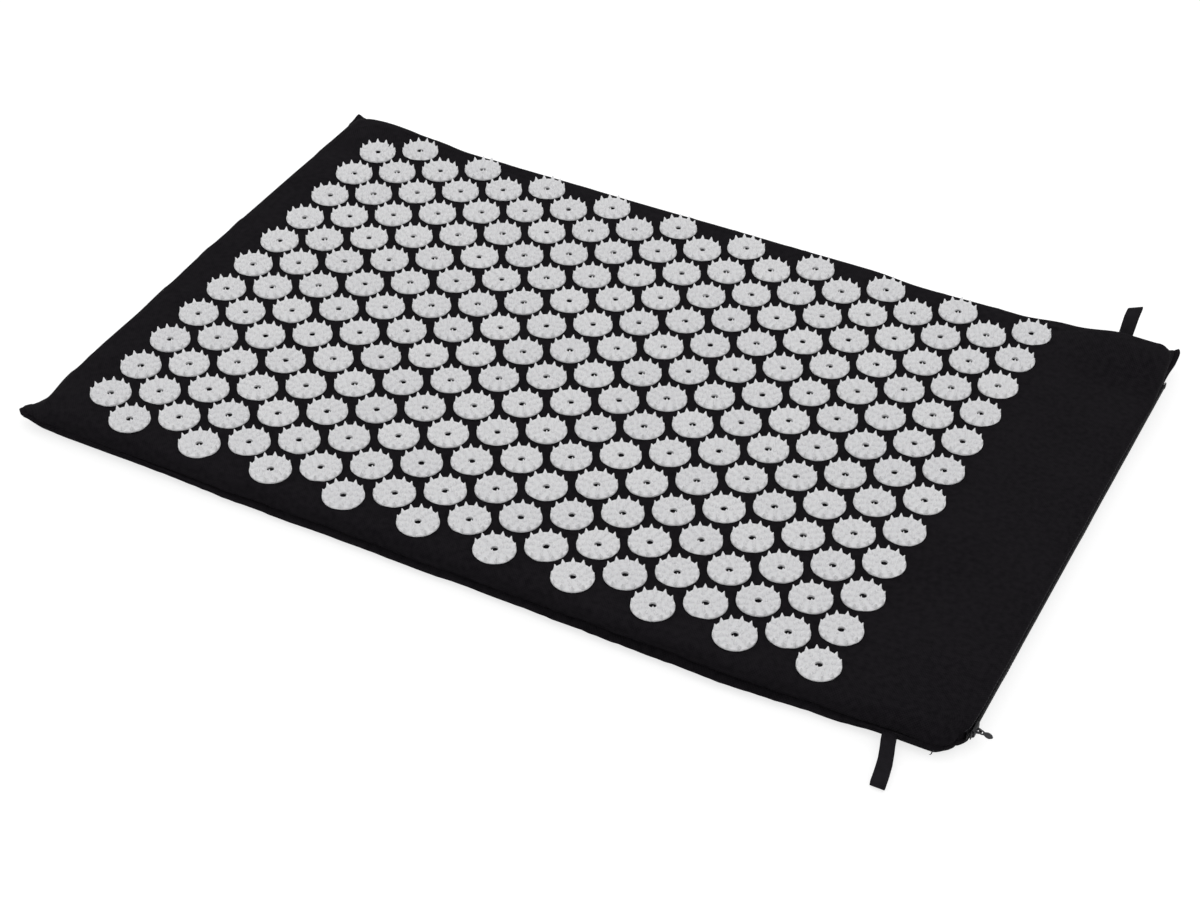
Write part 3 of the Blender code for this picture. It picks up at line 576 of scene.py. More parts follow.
def copies(tree, points, lent_shape, rotation):
    """A copy of a lent object at each of the points, turned by this rotation."""
    shape = add_node(tree, "GeometryNodeObjectInfo", {"Object": lent_shape, "As Instance": True})["Geometry"]
    placing = {"Points": points, "Instance": shape, "Rotation": rotation}
    return add_node(tree, "GeometryNodeInstanceOnPoints", placing)[0]


def grown(name, points, edges, tree, sizes):
    """The piece that a tree makes of points in mm and the edges between them, with its inputs set."""
    mesh = bpy.data.meshes.new(name)
    mesh.from_pydata((np.asarray(points, float) * MM).tolist(), edges, [])
    base = linked(name, mesh)
    growing = base.modifiers.new(name, "NODES")
    growing.node_group = tree
    for item in tree.interface.items_tree:
        if item.in_out == "INPUT" and item.name in sizes:
            growing[item.identifier] = sizes[item.name]
    result = evaluated_mesh(base)
    bpy.data.objects.remove(base)
    bpy.data.meshes.remove(mesh)
    result.name = name
    return linked(name, result)


# Cells of noise to a metre
HAZE_SCALE = 420.0
GRAIN_SCALE = 1800.0
# White polystyrene, moulded in a satin-polished tool: a cool white, filled so well that hardly any light
# gets through it, with a soft gloss that is hazy in places of about 2 mm, over a grain of about 0.5 mm
PLASTIC, tree, shader = new_material(
    "moulded_white_polystyrene", IOR=1.59, Subsurface_Weight=0.15, Subsurface_Scale=0.001,
    Subsurface_Radius=(1.0, 1.0, 1.0), Specular_IOR_Level=0.3,
)
where = add_node(tree, "ShaderNodeTexCoord")["Object"]
batch = add_node(tree, "ShaderNodeAttribute", attribute_name="batch")["Fac"]
haze = add_node(tree, "ShaderNodeTexNoise", {"Vector": where, "Scale": HAZE_SCALE, "Detail": 2.0})["Fac"]
mottle = add_node(tree, "ShaderNodeMath", {0: batch, 1: 0.5, 2: haze}, operation="MULTIPLY_ADD")[0]
tint = add_node(tree, "ShaderNodeMapRange", {0: mottle, 1: 0.3, 2: 1.2})[0]
grain = add_node(tree, "ShaderNodeTexNoise", {"Vector": where, "Scale": GRAIN_SCALE, "Detail": 1.0})["Fac"]
varied(tree, shader, tint, ("d8d8da", "dfdfe0"), haze, (0.34, 0.46), grain, 0.02)

# Objects that only lend their shapes to the trees, and are removed after them
lent = {
    "Plate": linked("plate", plate_mesh()),
    "Rim spike": linked("rim_spike", spike_mesh("rim_spike", RIM_SPIKE_FOOT, SPIKE, RIM_SPIKE_LEAN)),
    "Inner spike": linked("inner_spike", spike_mesh("inner_spike", INNER_SPIKE_FOOT, INNER_SPIKE, 0.0)),
}
disc_sizes = {
    "Rim radius": (DISC_RADIUS - RIM_SPIKE_FOOT) * MM, "Rim count": 12, "Middle radius": 8.0 * MM,
    "Middle count": 9, "Inner radius": 4.5 * MM, "Inner count": 6, "Seed": 0, **lent,
}
disc_tree, disc_in = new_tree("spike_disc", disc_sizes)


def spike_ring(tree, spike, count, radius, turn):
    """Spikes on a circle round the disc's middle, each leaning away from it."""
    circle = add_node(tree, "GeometryNodeMeshCircle", {"Vertices": count, "Radius": radius})[0]
    place = add_node(tree, "GeometryNodeInputPosition")[0]
    facing = {"Vector": place}
    outward = add_node(tree, "FunctionNodeAlignRotationToVector", facing, axis="X", pivot_axis="Z")[0]
    spikes = copies(tree, circle, spike, outward)
    return add_node(tree, "GeometryNodeTransform", {"Geometry": spikes, "Rotation": (0, 0, turn)})[0]


plate = {"Object": disc_in["Plate"], "As Instance": True}
plate_shape = add_node(disc_tree, "GeometryNodeObjectInfo", plate)["Geometry"]
disc = add_node(disc_tree, "GeometryNodeJoinGeometry", {0: plate_shape})[0]
for place, kind, turn in (("Rim", "Rim", 0.0), ("Middle", "Inner", 0.35), ("Inner", "Inner", 0.12)):
    spike, count, radius = disc_in[f"{kind} spike"], disc_in[f"{place} count"], disc_in[f"{place} radius"]
    disc_tree.links.new(spike_ring(disc_tree, spike, count, radius, turn), disc.node.inputs[0])
whole = add_node(disc_tree, "GeometryNodeGeometryToInstance", {0: disc})[0]
turning = {"Max": (0, 0, math.tau), "Seed": disc_in["Seed"]}
lie = add_node(disc_tree, "FunctionNodeRandomValue", turning, data_type="FLOAT_VECTOR")[0]
placing = {"Points": disc_in["Geometry"], "Instance": whole, "Rotation": lie}
discs = add_node(disc_tree, "GeometryNodeInstanceOnPoints", placing)[0]
shade = add_node(disc_tree, "FunctionNodeRandomValue", {"Seed": disc_in["Seed"]}, data_type="FLOAT")[1]
marks = {"Geometry": discs, "Name": "batch", "Value": shade}
marked = add_node(disc_tree, "GeometryNodeStoreNamedAttribute", marks, data_type="FLOAT", domain="INSTANCE")
end_tree(disc_tree, marked[0], PLASTIC)

for number, centres in enumerate(disc_centres, 1):
    spots = [(x, y, PLATE_TOP) for x, y in centres]
    piece = grown(f"spike_discs_{number:02d}", spots, [], disc_tree, {**disc_sizes, "Seed": number})
    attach(piece, "mat")
    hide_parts(f"disc_column_{number:02d}")

# In each disc's hole the cover's own cotton swells up into a small dome, a little below the plate's top. The
# foam presses it there, and the plate round it holds it down.

DOME_STEPS = 12
DOME = [(0, -0.95), (0.9, -1.02), (1.6, -1.2), (2.2, -1.5), (2.3, TOP - PLATE_TOP - 0.3)]
# The same cotton without a pattern of its own: its weave lies square over the whole mat. Its paler thread
# colour is darker than the cover's, as painted shade of the hole round each dome.
HOLE_SHADED_COTTON = woven(
    "black_woven_cotton_bulges", ("08070a", "171518"), 0.9, 0.12, "Object", (0.8, 0.95), 0.03,
)
lent["Dome"] = linked("dome", turned_mesh("dome", DOME[::-1], DOME_STEPS, False))
dome_sizes = {"Dome": lent["Dome"], "Seed": 5}
dome_tree, dome_in = new_tree("cotton_in_holes", dome_sizes)
leaning = {"Min": (-0.12, -0.12, 0), "Max": (0.12, 0.12, math.tau), "Seed": dome_in["Seed"]}
tilt = add_node(dome_tree, "FunctionNodeRandomValue", leaning, data_type="FLOAT_VECTOR")[0]
# The domes take the darker copy of the cotton, which is painted shade in the holes
end_tree(dome_tree, copies(dome_tree, dome_in["Geometry"], dome_in["Dome"], tilt), HOLE_SHADED_COTTON)
spots = [(x, y, PLATE_TOP) for column in disc_centres for x, y in column]
hole_cotton = grown("cotton_in_holes", spots, [], dome_tree, dome_sizes)
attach(hole_cotton, "mat")
for lender in lent.values():
    bpy.data.objects.remove(lender)

# The zip's tapes are woven polyester, sewn in behind the hems of the opening. Only a strip of each shows,
# behind the coil, between the hems.

ZIP_LEVEL = sum(corner.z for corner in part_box("zip_slider")) / 2 / MM
ZIP_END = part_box("zip_coil_upper")[1].y / MM


def faced_out(mesh, merge=0.0):
    """The mesh with doubles within this many mm merged and its faces turned outwards."""
    shape = bmesh.new()
    shape.from_mesh(mesh)
    if merge:
        bmesh.ops.remove_doubles(shape, verts=shape.verts, dist=merge * MM)
    bmesh.ops.recalc_face_normals(shape, faces=shape.faces)
    shape.to_mesh(mesh)
    shape.free()
    return mesh


def lofted(name, rings):
    """A closed body through rings of equally many points, with a UV map of metres along and around it."""
    rings = np.asarray(rings, float)
    count, steps = rings.shape[:2]
    lap = np.diff(rings[0], axis=0, append=rings[0][:1])
    around = np.concatenate([[0], np.cumsum(np.linalg.norm(lap, axis=1))])
    along = np.concatenate([[0], np.cumsum(np.linalg.norm(np.diff(rings.mean(1), axis=0), axis=1))])
    faces, corners = [], []
    for ring in range(count - 1):
        start, here, there = ring * steps, along[ring], along[ring + 1]
        for i in range(steps):
            ahead, near, far = (i + 1) % steps, around[i], around[i + 1]
            faces.append((start + i, start + ahead, start + steps + ahead, start + steps + i))
            corners.append([(here, near), (here, far), (there, far), (there, near)])
    for ring, turn in ((0, -1), (count - 1, 1)):
        face = list(range(ring * steps, (ring + 1) * steps))[::turn]
        faces.append(face)
        corners.append([(along[ring], around[point % steps]) for point in face])
    return faced_out(mesh_of(name, rings.reshape(-1, 3), faces, corners))


def unit(vectors):
    """Each of these vectors at the length 1."""
    return vectors / np.linalg.norm(vectors, axis=1, keepdims=True)


def bar_rings(path, across, width, thickness, rounding):
    """Rings of a flat bar or ribbon along a path, its width lying across, with rounded edges."""
    path = np.asarray(path, float)
    across = np.broadcast_to(np.asarray(across, float), path.shape)
    normal = unit(np.cross(unit(np.gradient(path, axis=0)), across))
    section = []
    for side_w, side_t, first in ((1, 1, 0), (-1, 1, 90), (-1, -1, 180), (1, -1, 270)):
        for turn in (0, 45, 90):
            angle = math.radians(first + turn)
            w = side_w * (width / 2 - rounding) + rounding * math.cos(angle)
            t = side_t * (thickness / 2 - rounding) + rounding * math.sin(angle)
            section.append((w, t))
    return [[point + across[i] * w + normal[i] * t for w, t in section] for i, point in enumerate(path)]


TAPE = woven("woven_polyester_tape", ("0e0d10", "1a191d"), 0.6, 0.05, "UV", (0.6, 0.75), 0.12)
TAPE_TAIL = 1.2
TAPE_INSET = 1.33
TAPE_OFF_LEVEL = 1.36
TAPE_WIDTH = 2.62
TAPE_THICKNESS = 0.26
tape_stops = np.linspace(-ZIP_END - TAPE_TAIL, ZIP_END + TAPE_TAIL, 130)
for tape_name, side in (("upper", 1), ("lower", -1)):
    sway = waves(tape_stops, (61, 97), 7 + side) * 0.06
    level = ZIP_LEVEL + side * TAPE_OFF_LEVEL
    centre = [(HEAD_X - TAPE_INSET + sway[i], y, level) for i, y in enumerate(tape_stops)]
    strip = bar_rings(centre, (0, 0, 1), TAPE_WIDTH, TAPE_THICKNESS, 0.1)
    tape = add_piece(f"zip_tape_{tape_name}_strip", lofted("tape", strip), TAPE)
    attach(tape, "mat")
    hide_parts(f"zip_tape_{tape_name}")

# Each half of the zip is a coil of nylon monofilament, pressed flat and sewn to its tape, and its turns hook
# between the turns of the other half. They are wound on a mandrel and heat-set.

COIL_PITCH = 1.3
WIRE = 0.28
COIL_OVERLAP = 0.45

# Nylon monofilament, drawn and heat-set: black with a soft gloss that catches the light on each turn. Its
# marks from drawing are noise of this many cells to a metre.
DRAWN_SCALE = 900.0
NYLON, tree, shader = new_material("nylon_monofilament", IOR=1.53, Specular_IOR_Level=0.2)
where = add_node(tree, "ShaderNodeTexCoord")["Object"]
drawn = add_node(tree, "ShaderNodeTexNoise", {"Vector": where, "Scale": DRAWN_SCALE, "Detail": 2.0})["Fac"]
varied(tree, shader, drawn, ("0f0e11", "1d1c20"), drawn, (0.32, 0.5))

coil_low, coil_high = box_of("zip_coil_upper")
half_width = (coil_high.z - ZIP_LEVEL + COIL_OVERLAP) / 2 - WIRE
half_depth = (coil_high.x - coil_low.x) / 2 - WIRE
turns = math.floor(2 * ZIP_END / COIL_PITCH) - 1
coil_sizes = {
    "Turns": float(turns), "Length": turns * COIL_PITCH * MM, "Half width": half_width * MM,
    "Flatness": half_depth / half_width, "Wire": WIRE * MM, "Steps": 14,
}
coil_tree, coil_in = new_tree("zip_coil", coil_sizes)
winding = {
    "Resolution": coil_in["Steps"], "Rotations": coil_in["Turns"], "Start Radius": coil_in["Half width"],
    "End Radius": coil_in["Half width"], "Height": coil_in["Length"],
}
spiral = add_node(coil_tree, "GeometryNodeCurveSpiral", winding)[0]
pressed = add_node(coil_tree, "ShaderNodeCombineXYZ", {0: coil_in["Flatness"], 1: 1.0, 2: 1.0})[0]
laying = {"Geometry": spiral, "Rotation": (-math.pi / 2, 0, 0), "Scale": pressed}
laid = add_node(coil_tree, "GeometryNodeTransform", laying)[0]
round_wire = {"Resolution": 5, "Radius": coil_in["Wire"]}
wire = add_node(coil_tree, "GeometryNodeCurvePrimitiveCircle", round_wire)[0]
drawing = {"Curve": laid, "Profile Curve": wire, "Fill Caps": True}
coiled = add_node(coil_tree, "GeometryNodeCurveToMesh", drawing)[0]
placing = {"Points": coil_in["Geometry"], "Instance": coiled}
placed = add_node(coil_tree, "GeometryNodeInstanceOnPoints", placing)[0]
end_tree(coil_tree, placed, NYLON)
for coil_name, side in (("upper", 1), ("lower", -1)):
    start_y = -turns * COIL_PITCH / 2 + side * COIL_PITCH / 4
    level = ZIP_LEVEL + side * (half_width + WIRE - COIL_OVERLAP)
    start = ((coil_low.x + coil_high.x) / 2, start_y, level)
    coil = grown(f"zip_coil_{coil_name}_turns", [start], [], coil_tree, coil_sizes)
    coil.data.shade_smooth()
    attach(coil, "mat")
    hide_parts(f"zip_coil_{coil_name}")

# The end stops, the slider and its tab are zinc, die-cast or clamped on and lacquered, with the lacquer
# rubbed a little along the edges. The stops are clips pressed across the chain.

CLIP_SET_IN = 0.85
CLIP_TRIM = 0.6
CLIP_ROUNDING = 0.12

# Cells of noise to a metre in the lacquer
FLECKS = 1500.0


def lacquered(name, colours, rubbed_colour):
    """Lacquered zinc of two coat colours, semi-gloss, with the metal showing through where edges rub."""
    made, tree, shader = new_material(name, Specular_IOR_Level=0.25)
    where = add_node(tree, "ShaderNodeTexCoord")["Object"]
    ridge = add_node(tree, "ShaderNodeNewGeometry")["Pointiness"]
    edge = add_node(tree, "ShaderNodeMapRange", {0: ridge, 1: 0.52, 2: 0.62})[0]
    flecks = add_node(tree, "ShaderNodeTexNoise", {"Vector": where, "Scale": FLECKS, "Detail": 4.0})["Fac"]
    rubbed = add_node(tree, "ShaderNodeMath", {0: edge, 1: flecks}, operation="MULTIPLY")[0]
    coats = {0: flecks, 6: linear(colours[0]), 7: linear(colours[1])}
    coat = add_node(tree, "ShaderNodeMix", coats, data_type="RGBA")[2]
    bared = {0: rubbed, 6: coat, 7: linear(rubbed_colour)}
    metal = add_node(tree, "ShaderNodeMix", bared, data_type="RGBA")[2]
    tree.links.new(metal, shader.inputs["Base Color"])
    shine = add_node(tree, "ShaderNodeMapRange", {0: rubbed, 3: 0.1, 4: 0.8})[0]
    tree.links.new(shine, shader.inputs["Metallic"])
    rough = add_node(tree, "ShaderNodeMapRange", {0: flecks, 3: 0.34, 4: 0.52})[0]
    tree.links.new(rough, shader.inputs["Roughness"])
    return made


# The stops and the slider: zinc under a black lacquer
BLACK_ZINC = lacquered("black_lacquered_zinc", ("0e0e10", "19191b"), "58585c")
# The pull tab: zinc under a thinner, dark grey lacquer
GREY_ZINC = lacquered("grey_lacquered_zinc", ("2c2c2e", "3a3a3c"), "77777b")


def softened(obj, width):
    """Rounds a piece's edges by this many mm."""
    bevel = obj.modifiers.new("rounded edges", "BEVEL")
    bevel.width = width * MM
    bevel.segments = 2
    bevel.limit_method = "ANGLE"
    bevel.angle_limit = math.radians(35)


for stop_name in ("zip_top_stop", "zip_bottom_stop"):
    low, high = box_of(stop_name)
    out, back, reach = high.x - CLIP_SET_IN, low.x, (high.z - low.z) / 2 - CLIP_TRIM
    upper = [
        (back, reach - 0.55), (back - 0.1, reach - 0.4), (back - 0.1, reach), (out - 0.5, reach),
        (out - 0.12, reach - 0.5), (out, reach - 1.2),
    ]
    section = [(x, ZIP_LEVEL + z) for x, z in upper] + [(x, ZIP_LEVEL - z) for x, z in upper[::-1]]
    stops = [
        (low.y, 0.8), (low.y + 0.25, 1.0), ((low.y + high.y) / 2, 0.96), (high.y - 0.25, 1.0), (high.y, 0.8),
    ]
    clip_rings = []
    for y, size in stops:
        wide, tall = 0.5 + 0.5 * size, 0.9 + 0.1 * size
        ring = [(back + (x - back) * wide, y, ZIP_LEVEL + (z - ZIP_LEVEL) * tall) for x, z in section]
        clip_rings.append(ring)
    stop = add_piece(f"{stop_name}_clip", lofted("clip", clip_rings), BLACK_ZINC, crease=50)
    softened(stop, CLIP_ROUNDING)
    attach(stop, "mat")
    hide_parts(stop_name)

# The slider is a die-cast shoe round the coil, with a low bridge on it. It is wider where the two halves
# enter it, and its flanges wrap round the coil's edges. Its web runs between the two halves.

slider_low, slider_high = box_of("zip_slider")
SLIDER_Y = (slider_low.y + slider_high.y) / 2
FACE = 2.1
WEB = 0.2
BRIDGE_HALF = 2.1
BRIDGE_TOP = 5.1
BRIDGE_BAR = 1.1
BRIDGE_WIDTH = 1.3
SHOE_ROUNDING = 0.18


def slider_section(half, share):
    """The slider across its travel as (outward, height), with this half width, closing towards its ends."""
    face = FACE - 0.35 * (1 - share)
    upper = [
        (-2.8, 1.2 + 1.3 * share), (-2.0, 1.2 + 1.3 * share), (-2.0, WEB), (1.3, WEB), (1.3, half - 0.55),
        (0.4, half - 0.5), (0.4, half), (face - 0.55, half), (face - 0.1, half - 0.55),
        (face + 0.12, half * 0.4),
    ]
    return upper + [(out, -up) for out, up in upper[::-1]]


slider_steps = (
    (-4.25, 2.55, 0.0), (-4.0, 2.8, 0.6), (-3.2, 2.95, 1.0), (-1.2, 3.0, 1.0), (0.6, 3.15, 1.0),
    (2.0, 3.42, 1.0), (3.2, 3.5, 1.0), (3.95, 3.4, 0.6), (4.25, 3.1, 0.0),
)
shoe_rings = [
    [(HEAD_X + out, SLIDER_Y + y, ZIP_LEVEL + up) for out, up in slider_section(half, share)]
    for y, half, share in slider_steps
]
shoe = add_piece("slider_shoe", lofted("slider_shoe", shoe_rings), BLACK_ZINC, crease=50)
softened(shoe, SHOE_ROUNDING)
arch = []
for turn in range(0, 181, 12):
    angle = math.radians(turn)
    rise = (BRIDGE_TOP - BRIDGE_BAR / 2 - FACE + 0.5) * math.sin(angle) ** 0.6
    turn_y = (BRIDGE_HALF - BRIDGE_BAR / 2) * math.cos(angle)
    arch.append((HEAD_X + FACE - 0.5 + rise, SLIDER_Y - turn_y, ZIP_LEVEL))
bridge_rings = bar_rings(arch, (0, 0, 1), BRIDGE_WIDTH, BRIDGE_BAR, 0.3)
bridge = add_piece("slider_bridge", lofted("bridge", bridge_rings), BLACK_ZINC, crease=50)
for part in (shoe, bridge):
    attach(part, "zip_slider")
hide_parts("zip_slider")

# The pull tab is a small leaf, stamped from zinc sheet with a raised border, and its eye goes round the
# bridge. It hangs a little below the level of the zip.

TAB_AXIS = 3.5
TAB_DROOP = math.radians(10)
LEAF = (
    (-0.4, 1.45), (0.0, 1.7), (1.8, 1.7), (2.4, 1.4), (2.8, 1.15), (3.3, 1.25), (4.0, 1.7), (4.9, 2.05),
    (5.8, 2.1), (6.6, 1.9), (7.3, 1.45), (7.9, 0.85), (8.3, 0.35), (8.4, 0.0),
)
EYE = ((0.4, 1.0), (1.75, 1.0), (2.1, 0.75), (2.25, 0.0))
FIELD = ((3.7, 0.6), (4.4, 1.05), (5.2, 1.35), (5.9, 1.35), (6.6, 1.1), (7.2, 0.6), (7.45, 0.0))


def stamped(name, outlines, half_thickness, rounding):
    """A flat plate with rounded edges from half outlines of (along, across) points, the rest being holes."""
    curve = bpy.data.curves.new(name, "CURVE")
    curve.dimensions = "2D"
    curve.fill_mode = "BOTH"
    curve.extrude = (half_thickness - rounding) * MM
    curve.bevel_depth = rounding * MM
    curve.bevel_resolution = 2
    curve.offset = -rounding * MM
    for outline in outlines:
        points = [*outline, *((along, -across) for along, across in outline[::-1] if across > 0)]
        spline = curve.splines.new("POLY")
        spline.points.add(len(points) - 1)
        for point, (along, across) in zip(spline.points, points):
            point.co = (along * MM, across * MM, 0, 1)
        spline.use_cyclic_u = True
    lender = linked(name, curve)
    mesh = evaluated_mesh(lender)
    bpy.data.objects.remove(lender)
    return faced_out(mesh, merge=0.005)


hang = Matrix.Translation(Vector((HEAD_X + TAB_AXIS, SLIDER_Y, ZIP_LEVEL)) * MM)
hang = hang @ Matrix.Rotation(TAB_DROOP, 4, "Y") @ Matrix.Rotation(math.pi / 2, 4, "X")
for tab_name, outlines, half_thickness, rounding in (
    ("pull_tab_border", (LEAF, EYE, FIELD), 0.4, 0.16), ("pull_tab_leaf", (LEAF[4:],), 0.24, 0.1),
):
    shape = stamped(tab_name, outlines, half_thickness, rounding)
    shape.transform(hang)
    tab = add_piece(tab_name, shape, GREY_ZINC, crease=50)
    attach(tab, "pull_tab")
    if tab_name == "pull_tab_border":
        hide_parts("pull_tab")

# The two hanging loops are flat polyester ribbon, 9 mm wide, folded once and caught in the long seams. The
# near one lies down to the floor, and the far one stands up, its fold a little askew.

# Polyester ribbon with fine ribs across it: black, smoother than the cotton and with a faint gloss
RIBBON = woven("ribbed_polyester_ribbon", ("0b0a0d", "1d1b1f"), 0.7, 0.12, "UV", (0.5, 0.68), 0.06)
RIBBON_WIDTH = 9.0
RIBBON_THICKNESS = 0.7
RIBBON_STEPS = 22
FOLD_STEPS = 10


def folded(middle, gaps):
    """A ribbon's path, out along a line on its upper side, round a fold and back on its under side."""
    middle = np.asarray(middle, float)
    stops, known = np.linspace(0, len(middle) - 1, RIBBON_STEPS), range(len(middle))
    line = np.empty((RIBBON_STEPS, 3))
    for axis in range(3):
        straight, curved = (way(stops, known, middle[:, axis]) for way in (np.interp, eased))
        line[:, axis] = 0.6 * straight + 0.4 * curved
    ahead = unit(np.gradient(line, axis=0))
    up = np.cross((1, 0, 0), ahead)
    up *= np.sign(up[:, 2:3]) / np.linalg.norm(up, axis=1, keepdims=True)
    gap = eased(stops, range(len(gaps)), gaps)[:, None]
    fold = [
        line[-1] + gap[-1] * (math.cos(turn) * up[-1] + math.sin(turn) * ahead[-1])
        for turn in np.linspace(0, math.pi, FOLD_STEPS + 1)[1:-1]
    ]
    return np.concatenate([line + gap * up, fold, (line - gap * up)[::-1]])


for loop_name, side, middle, gaps, slant in (
    ("near_loop", -1, [
        (273.4, -202.6, 6.3), (273.9, -205.4, 5.7), (274.7, -208.8, 4.6), (276.4, -214.5, 3.3),
        (278.4, -222.0, 2.7), (280.0, -231.0, 2.5), (281.2, -239.6, 2.6),
    ], (0.5, 0.6, 0.9, 1.2, 1.5, 1.8, 1.9), 0.0),
    ("far_loop", 1, [
        (274.8, 205.4, 4.6), (275.4, 209.6, 7.4), (276.0, 214.6, 11.2), (276.2, 220.4, 16.0),
        (276.0, 226.0, 20.4), (275.8, 231.0, 23.8), (276.0, 235.0, 26.0),
    ], (0.6, 0.9, 1.6, 2.2, 2.6, 2.6, 2.3), 1.9),
):
    path = folded(middle, gaps)
    band = bar_rings(path, (1, 0, 0), RIBBON_WIDTH, RIBBON_THICKNESS, 0.3)
    shape = lofted(f"{loop_name}_ribbon", band)
    spots = spots_of(shape.vertices)
    start, tip = np.array(middle[0]), np.array(middle[-1])
    reach = (spots - start) @ (tip - start) / np.sum((tip - start) ** 2)
    lean = slant * (spots[:, 0] - tip[0]) / (RIBBON_WIDTH / 2) * smooth((reach - 0.45) / 0.55)
    spots += lean[:, None] * (tip - start) / np.linalg.norm(tip - start)
    shape.vertices.foreach_set("co", (spots * MM).astype(np.float32).ravel())
    loop = add_piece(shape.name, shape, RIBBON, crease=60)
    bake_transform(loop)
    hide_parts(loop_name)

# Both hems of the zip's opening are sewn to the tapes behind them with a row of topstitches, in black
# polyester thread, 3 mm from stitch to stitch.

STITCH_PITCH = 3.0
STITCH_LENGTH = 2.4
THREAD = 0.2
HEM_OVERRUN = 2.0
HEM_STEPS = 160
SEWING_THREAD = woven(
    "polyester_sewing_thread", ("19181b", "302e33"), 0.5, 0.05, "Object", (0.45, 0.6), 0.2,
)
stitch_rings = []
angles = [math.tau * i / 6 for i in range(6)]
for share, size in ((-1, 0.45), (-0.8, 0.9), (-0.3, 1.0), (0.3, 1.0), (0.8, 0.9), (1, 0.45)):
    dip = -THREAD * 0.9 * share * share
    ends = [(THREAD * size * math.cos(a), THREAD * size * math.sin(a)) for a in angles]
    stitch_rings.append([(share * STITCH_LENGTH / 2, y, dip + z) for y, z in ends])
stitch = linked("stitch", lofted("stitch", stitch_rings))
stitch_sizes = {"Stitch": stitch, "Pitch": STITCH_PITCH * MM}
stitch_tree, stitch_in = new_tree("topstitch", stitch_sizes)
seam_line = add_node(stitch_tree, "GeometryNodeMeshToCurve", {0: stitch_in["Geometry"]})[0]
stepping = {"Curve": seam_line, "Length": stitch_in["Pitch"]}
marks = add_node(stitch_tree, "GeometryNodeResampleCurve", stepping, mode="LENGTH")[0]
heading = add_node(stitch_tree, "GeometryNodeInputTangent")[0]
lying = add_node(stitch_tree, "FunctionNodeAlignRotationToVector", {"Vector": heading}, axis="X")[0]
end_tree(stitch_tree, copies(stitch_tree, marks, stitch_in["Stitch"], lying), SEWING_THREAD)

for hem_name, hem_height in (("upper", 13.9), ("lower", 4.5)):
    line = []
    for y in np.linspace(-ZIP_END - HEM_OVERRUN, ZIP_END + HEM_OVERRUN, HEM_STEPS):
        found = cover.closest_point_on_mesh(Vector((HEAD_X + 1, y, hem_height)) * MM)
        line.append((found[1] + found[2] * 0.05 * MM) / MM)
    links = [(i, i + 1) for i in range(HEM_STEPS - 1)]
    sewn = grown(f"topstitch_{hem_name}", line, links, stitch_tree, stitch_sizes)
    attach(sewn, "mat")
bpy.data.objects.remove(stitch)

# A short end of the same polyester thread hangs from the lip near the near corner of the zip, where the seam
# ends and was never trimmed.

lip_x, lip_y, lip_z = cover.closest_point_on_mesh(Vector((302.5, -215.0, 4.5)) * MM)[1] / MM
tail = [
    (lip_x + 0.3, lip_y + 0.6, lip_z), (lip_x, lip_y - 0.2, lip_z), (lip_x - 0.4, lip_y - 0.9, lip_z - 0.9),
    (lip_x - 0.6, lip_y - 1.2, lip_z - 1.9), (lip_x - 1.2, lip_y - 1.6, lip_z - 2.6),
]
tail_shape = lofted("thread_tail", bar_rings(tail, (1, 0, 0), 0.7, 0.6, 0.25))
tail_piece = add_piece("thread_tail", tail_shape, SEWING_THREAD)
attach(tail_piece, "mat")

# The studio is a white paper floor under one large soft box, in a white light tent. The tent is brighter low
# down than overhead, so that the spikes' sides are lit as the plates are.

PAPER_SHOWN = 0.4
PAPER_GLOW = 0.72
PAPER_LIT = 0.25


def seen_share(tree):
    """One for rays that see the studio directly, in a gloss or through something, and zero for others."""
    path = add_node(tree, "ShaderNodeLightPath")
    seen = path["Is Camera Ray"]
    for ray in ("Is Glossy Ray", "Is Transmission Ray"):
        seen = add_node(tree, "ShaderNodeMath", {0: seen, 1: path[ray]}, operation="MAXIMUM")[0]
    return seen


# White paper: seen as plain white, with the mat's shadow on it, and dim as a light on the mat
PAPER, tree, shader = new_material("white_paper", Roughness=0.9, Specular_IOR_Level=0.1)
tree.nodes.remove(shader)
seen = seen_share(tree)
shown = add_node(tree, "ShaderNodeBsdfDiffuse", {"Color": (*[PAPER_SHOWN] * 3, 1)})[0]
glow = add_node(tree, "ShaderNodeEmission", {"Color": (1, 1, 1, 1), "Strength": PAPER_GLOW})[0]
bright = add_node(tree, "ShaderNodeAddShader", {0: shown, 1: glow})[0]
dull = add_node(tree, "ShaderNodeBsdfDiffuse", {"Color": (*[PAPER_LIT] * 3, 1)})[0]
mixed = add_node(tree, "ShaderNodeMixShader", {0: seen, 1: dull, 2: bright})[0]
tree.links.new(mixed, next(node for node in tree.nodes if node.type == "OUTPUT_MATERIAL").inputs[0])
FLOOR_HALF = 6000.0
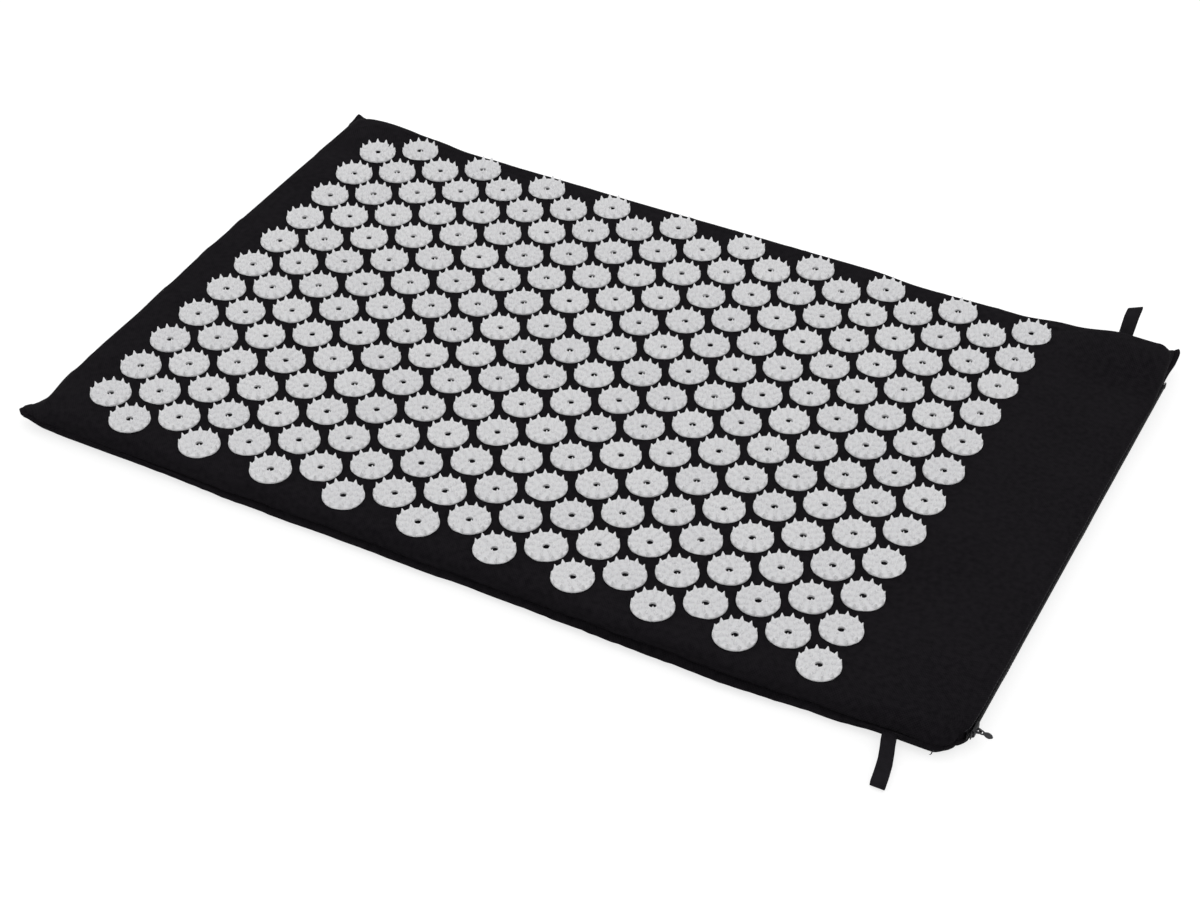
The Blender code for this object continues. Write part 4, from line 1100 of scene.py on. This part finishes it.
corners = [(-1, -1), (1, -1), (1, 1), (-1, 1)]
sheet = mesh_of("floor", [(x * FLOOR_HALF, y * FLOOR_HALF, -0.05) for x, y in corners], [(0, 1, 2, 3)])
floor = add_piece("floor", sheet, PAPER)
floor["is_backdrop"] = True

SKY_LOW = 1.6
SKY_HIGH = 0.5
sky = bpy.data.worlds.new("studio")
bpy.context.scene.world = sky
sky.use_nodes = True
tree = sky.node_tree
tree.nodes.clear()
aim = add_node(tree, "ShaderNodeTexCoord")["Generated"]
climb = add_node(tree, "ShaderNodeSeparateXYZ", {0: aim})["Z"]
level = add_node(tree, "ShaderNodeMapRange", {0: climb, 1: 0.0, 2: 1.0, 3: SKY_LOW, 4: SKY_HIGH})[0]
dim = add_node(tree, "ShaderNodeBackground", {"Color": (1, 1, 1, 1), "Strength": level})[0]
white = add_node(tree, "ShaderNodeBackground", {"Color": (1, 1, 1, 1), "Strength": 1.0})[0]
mixed = add_node(tree, "ShaderNodeMixShader", {0: seen_share(tree), 1: dim, 2: white})[0]
add_node(tree, "ShaderNodeOutputWorld", {0: mixed})

lamp = bpy.data.lights.new("overhead_soft_box", "AREA")
lamp.size = 1.8
lamp.energy = 4.0
soft_box = linked(lamp.name, lamp)
soft_box.location = (-0.1, 0.25, 1.6)
soft_box.rotation_euler = (-soft_box.location).to_track_quat("-Z", "Y").to_euler()

# The camera stands where the photograph was taken from: beyond the near right corner, with a short telephoto
# lens.

view = bpy.data.cameras.new("camera")
view.sensor_width = 36.0
view.lens = 75.383
view.clip_start = 0.01
camera = linked("camera", view)
camera.matrix_world = Matrix((
    (0.891956, -0.299441, 0.338747, 0.5593), (0.451365, 0.546429, -0.705467, -1.1877),
    (0.026145, 0.782145, 0.622548, 1.0074), (0, 0, 0, 1),
))
bpy.context.scene.camera = camera
bpy.context.scene.view_settings.view_transform = "Standard"

boxes = {"cad": CAD_BOX, "visual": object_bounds()}
for key, box in boxes.items():
    boxes[key] = [[float(value) for value in corner] for corner in box]
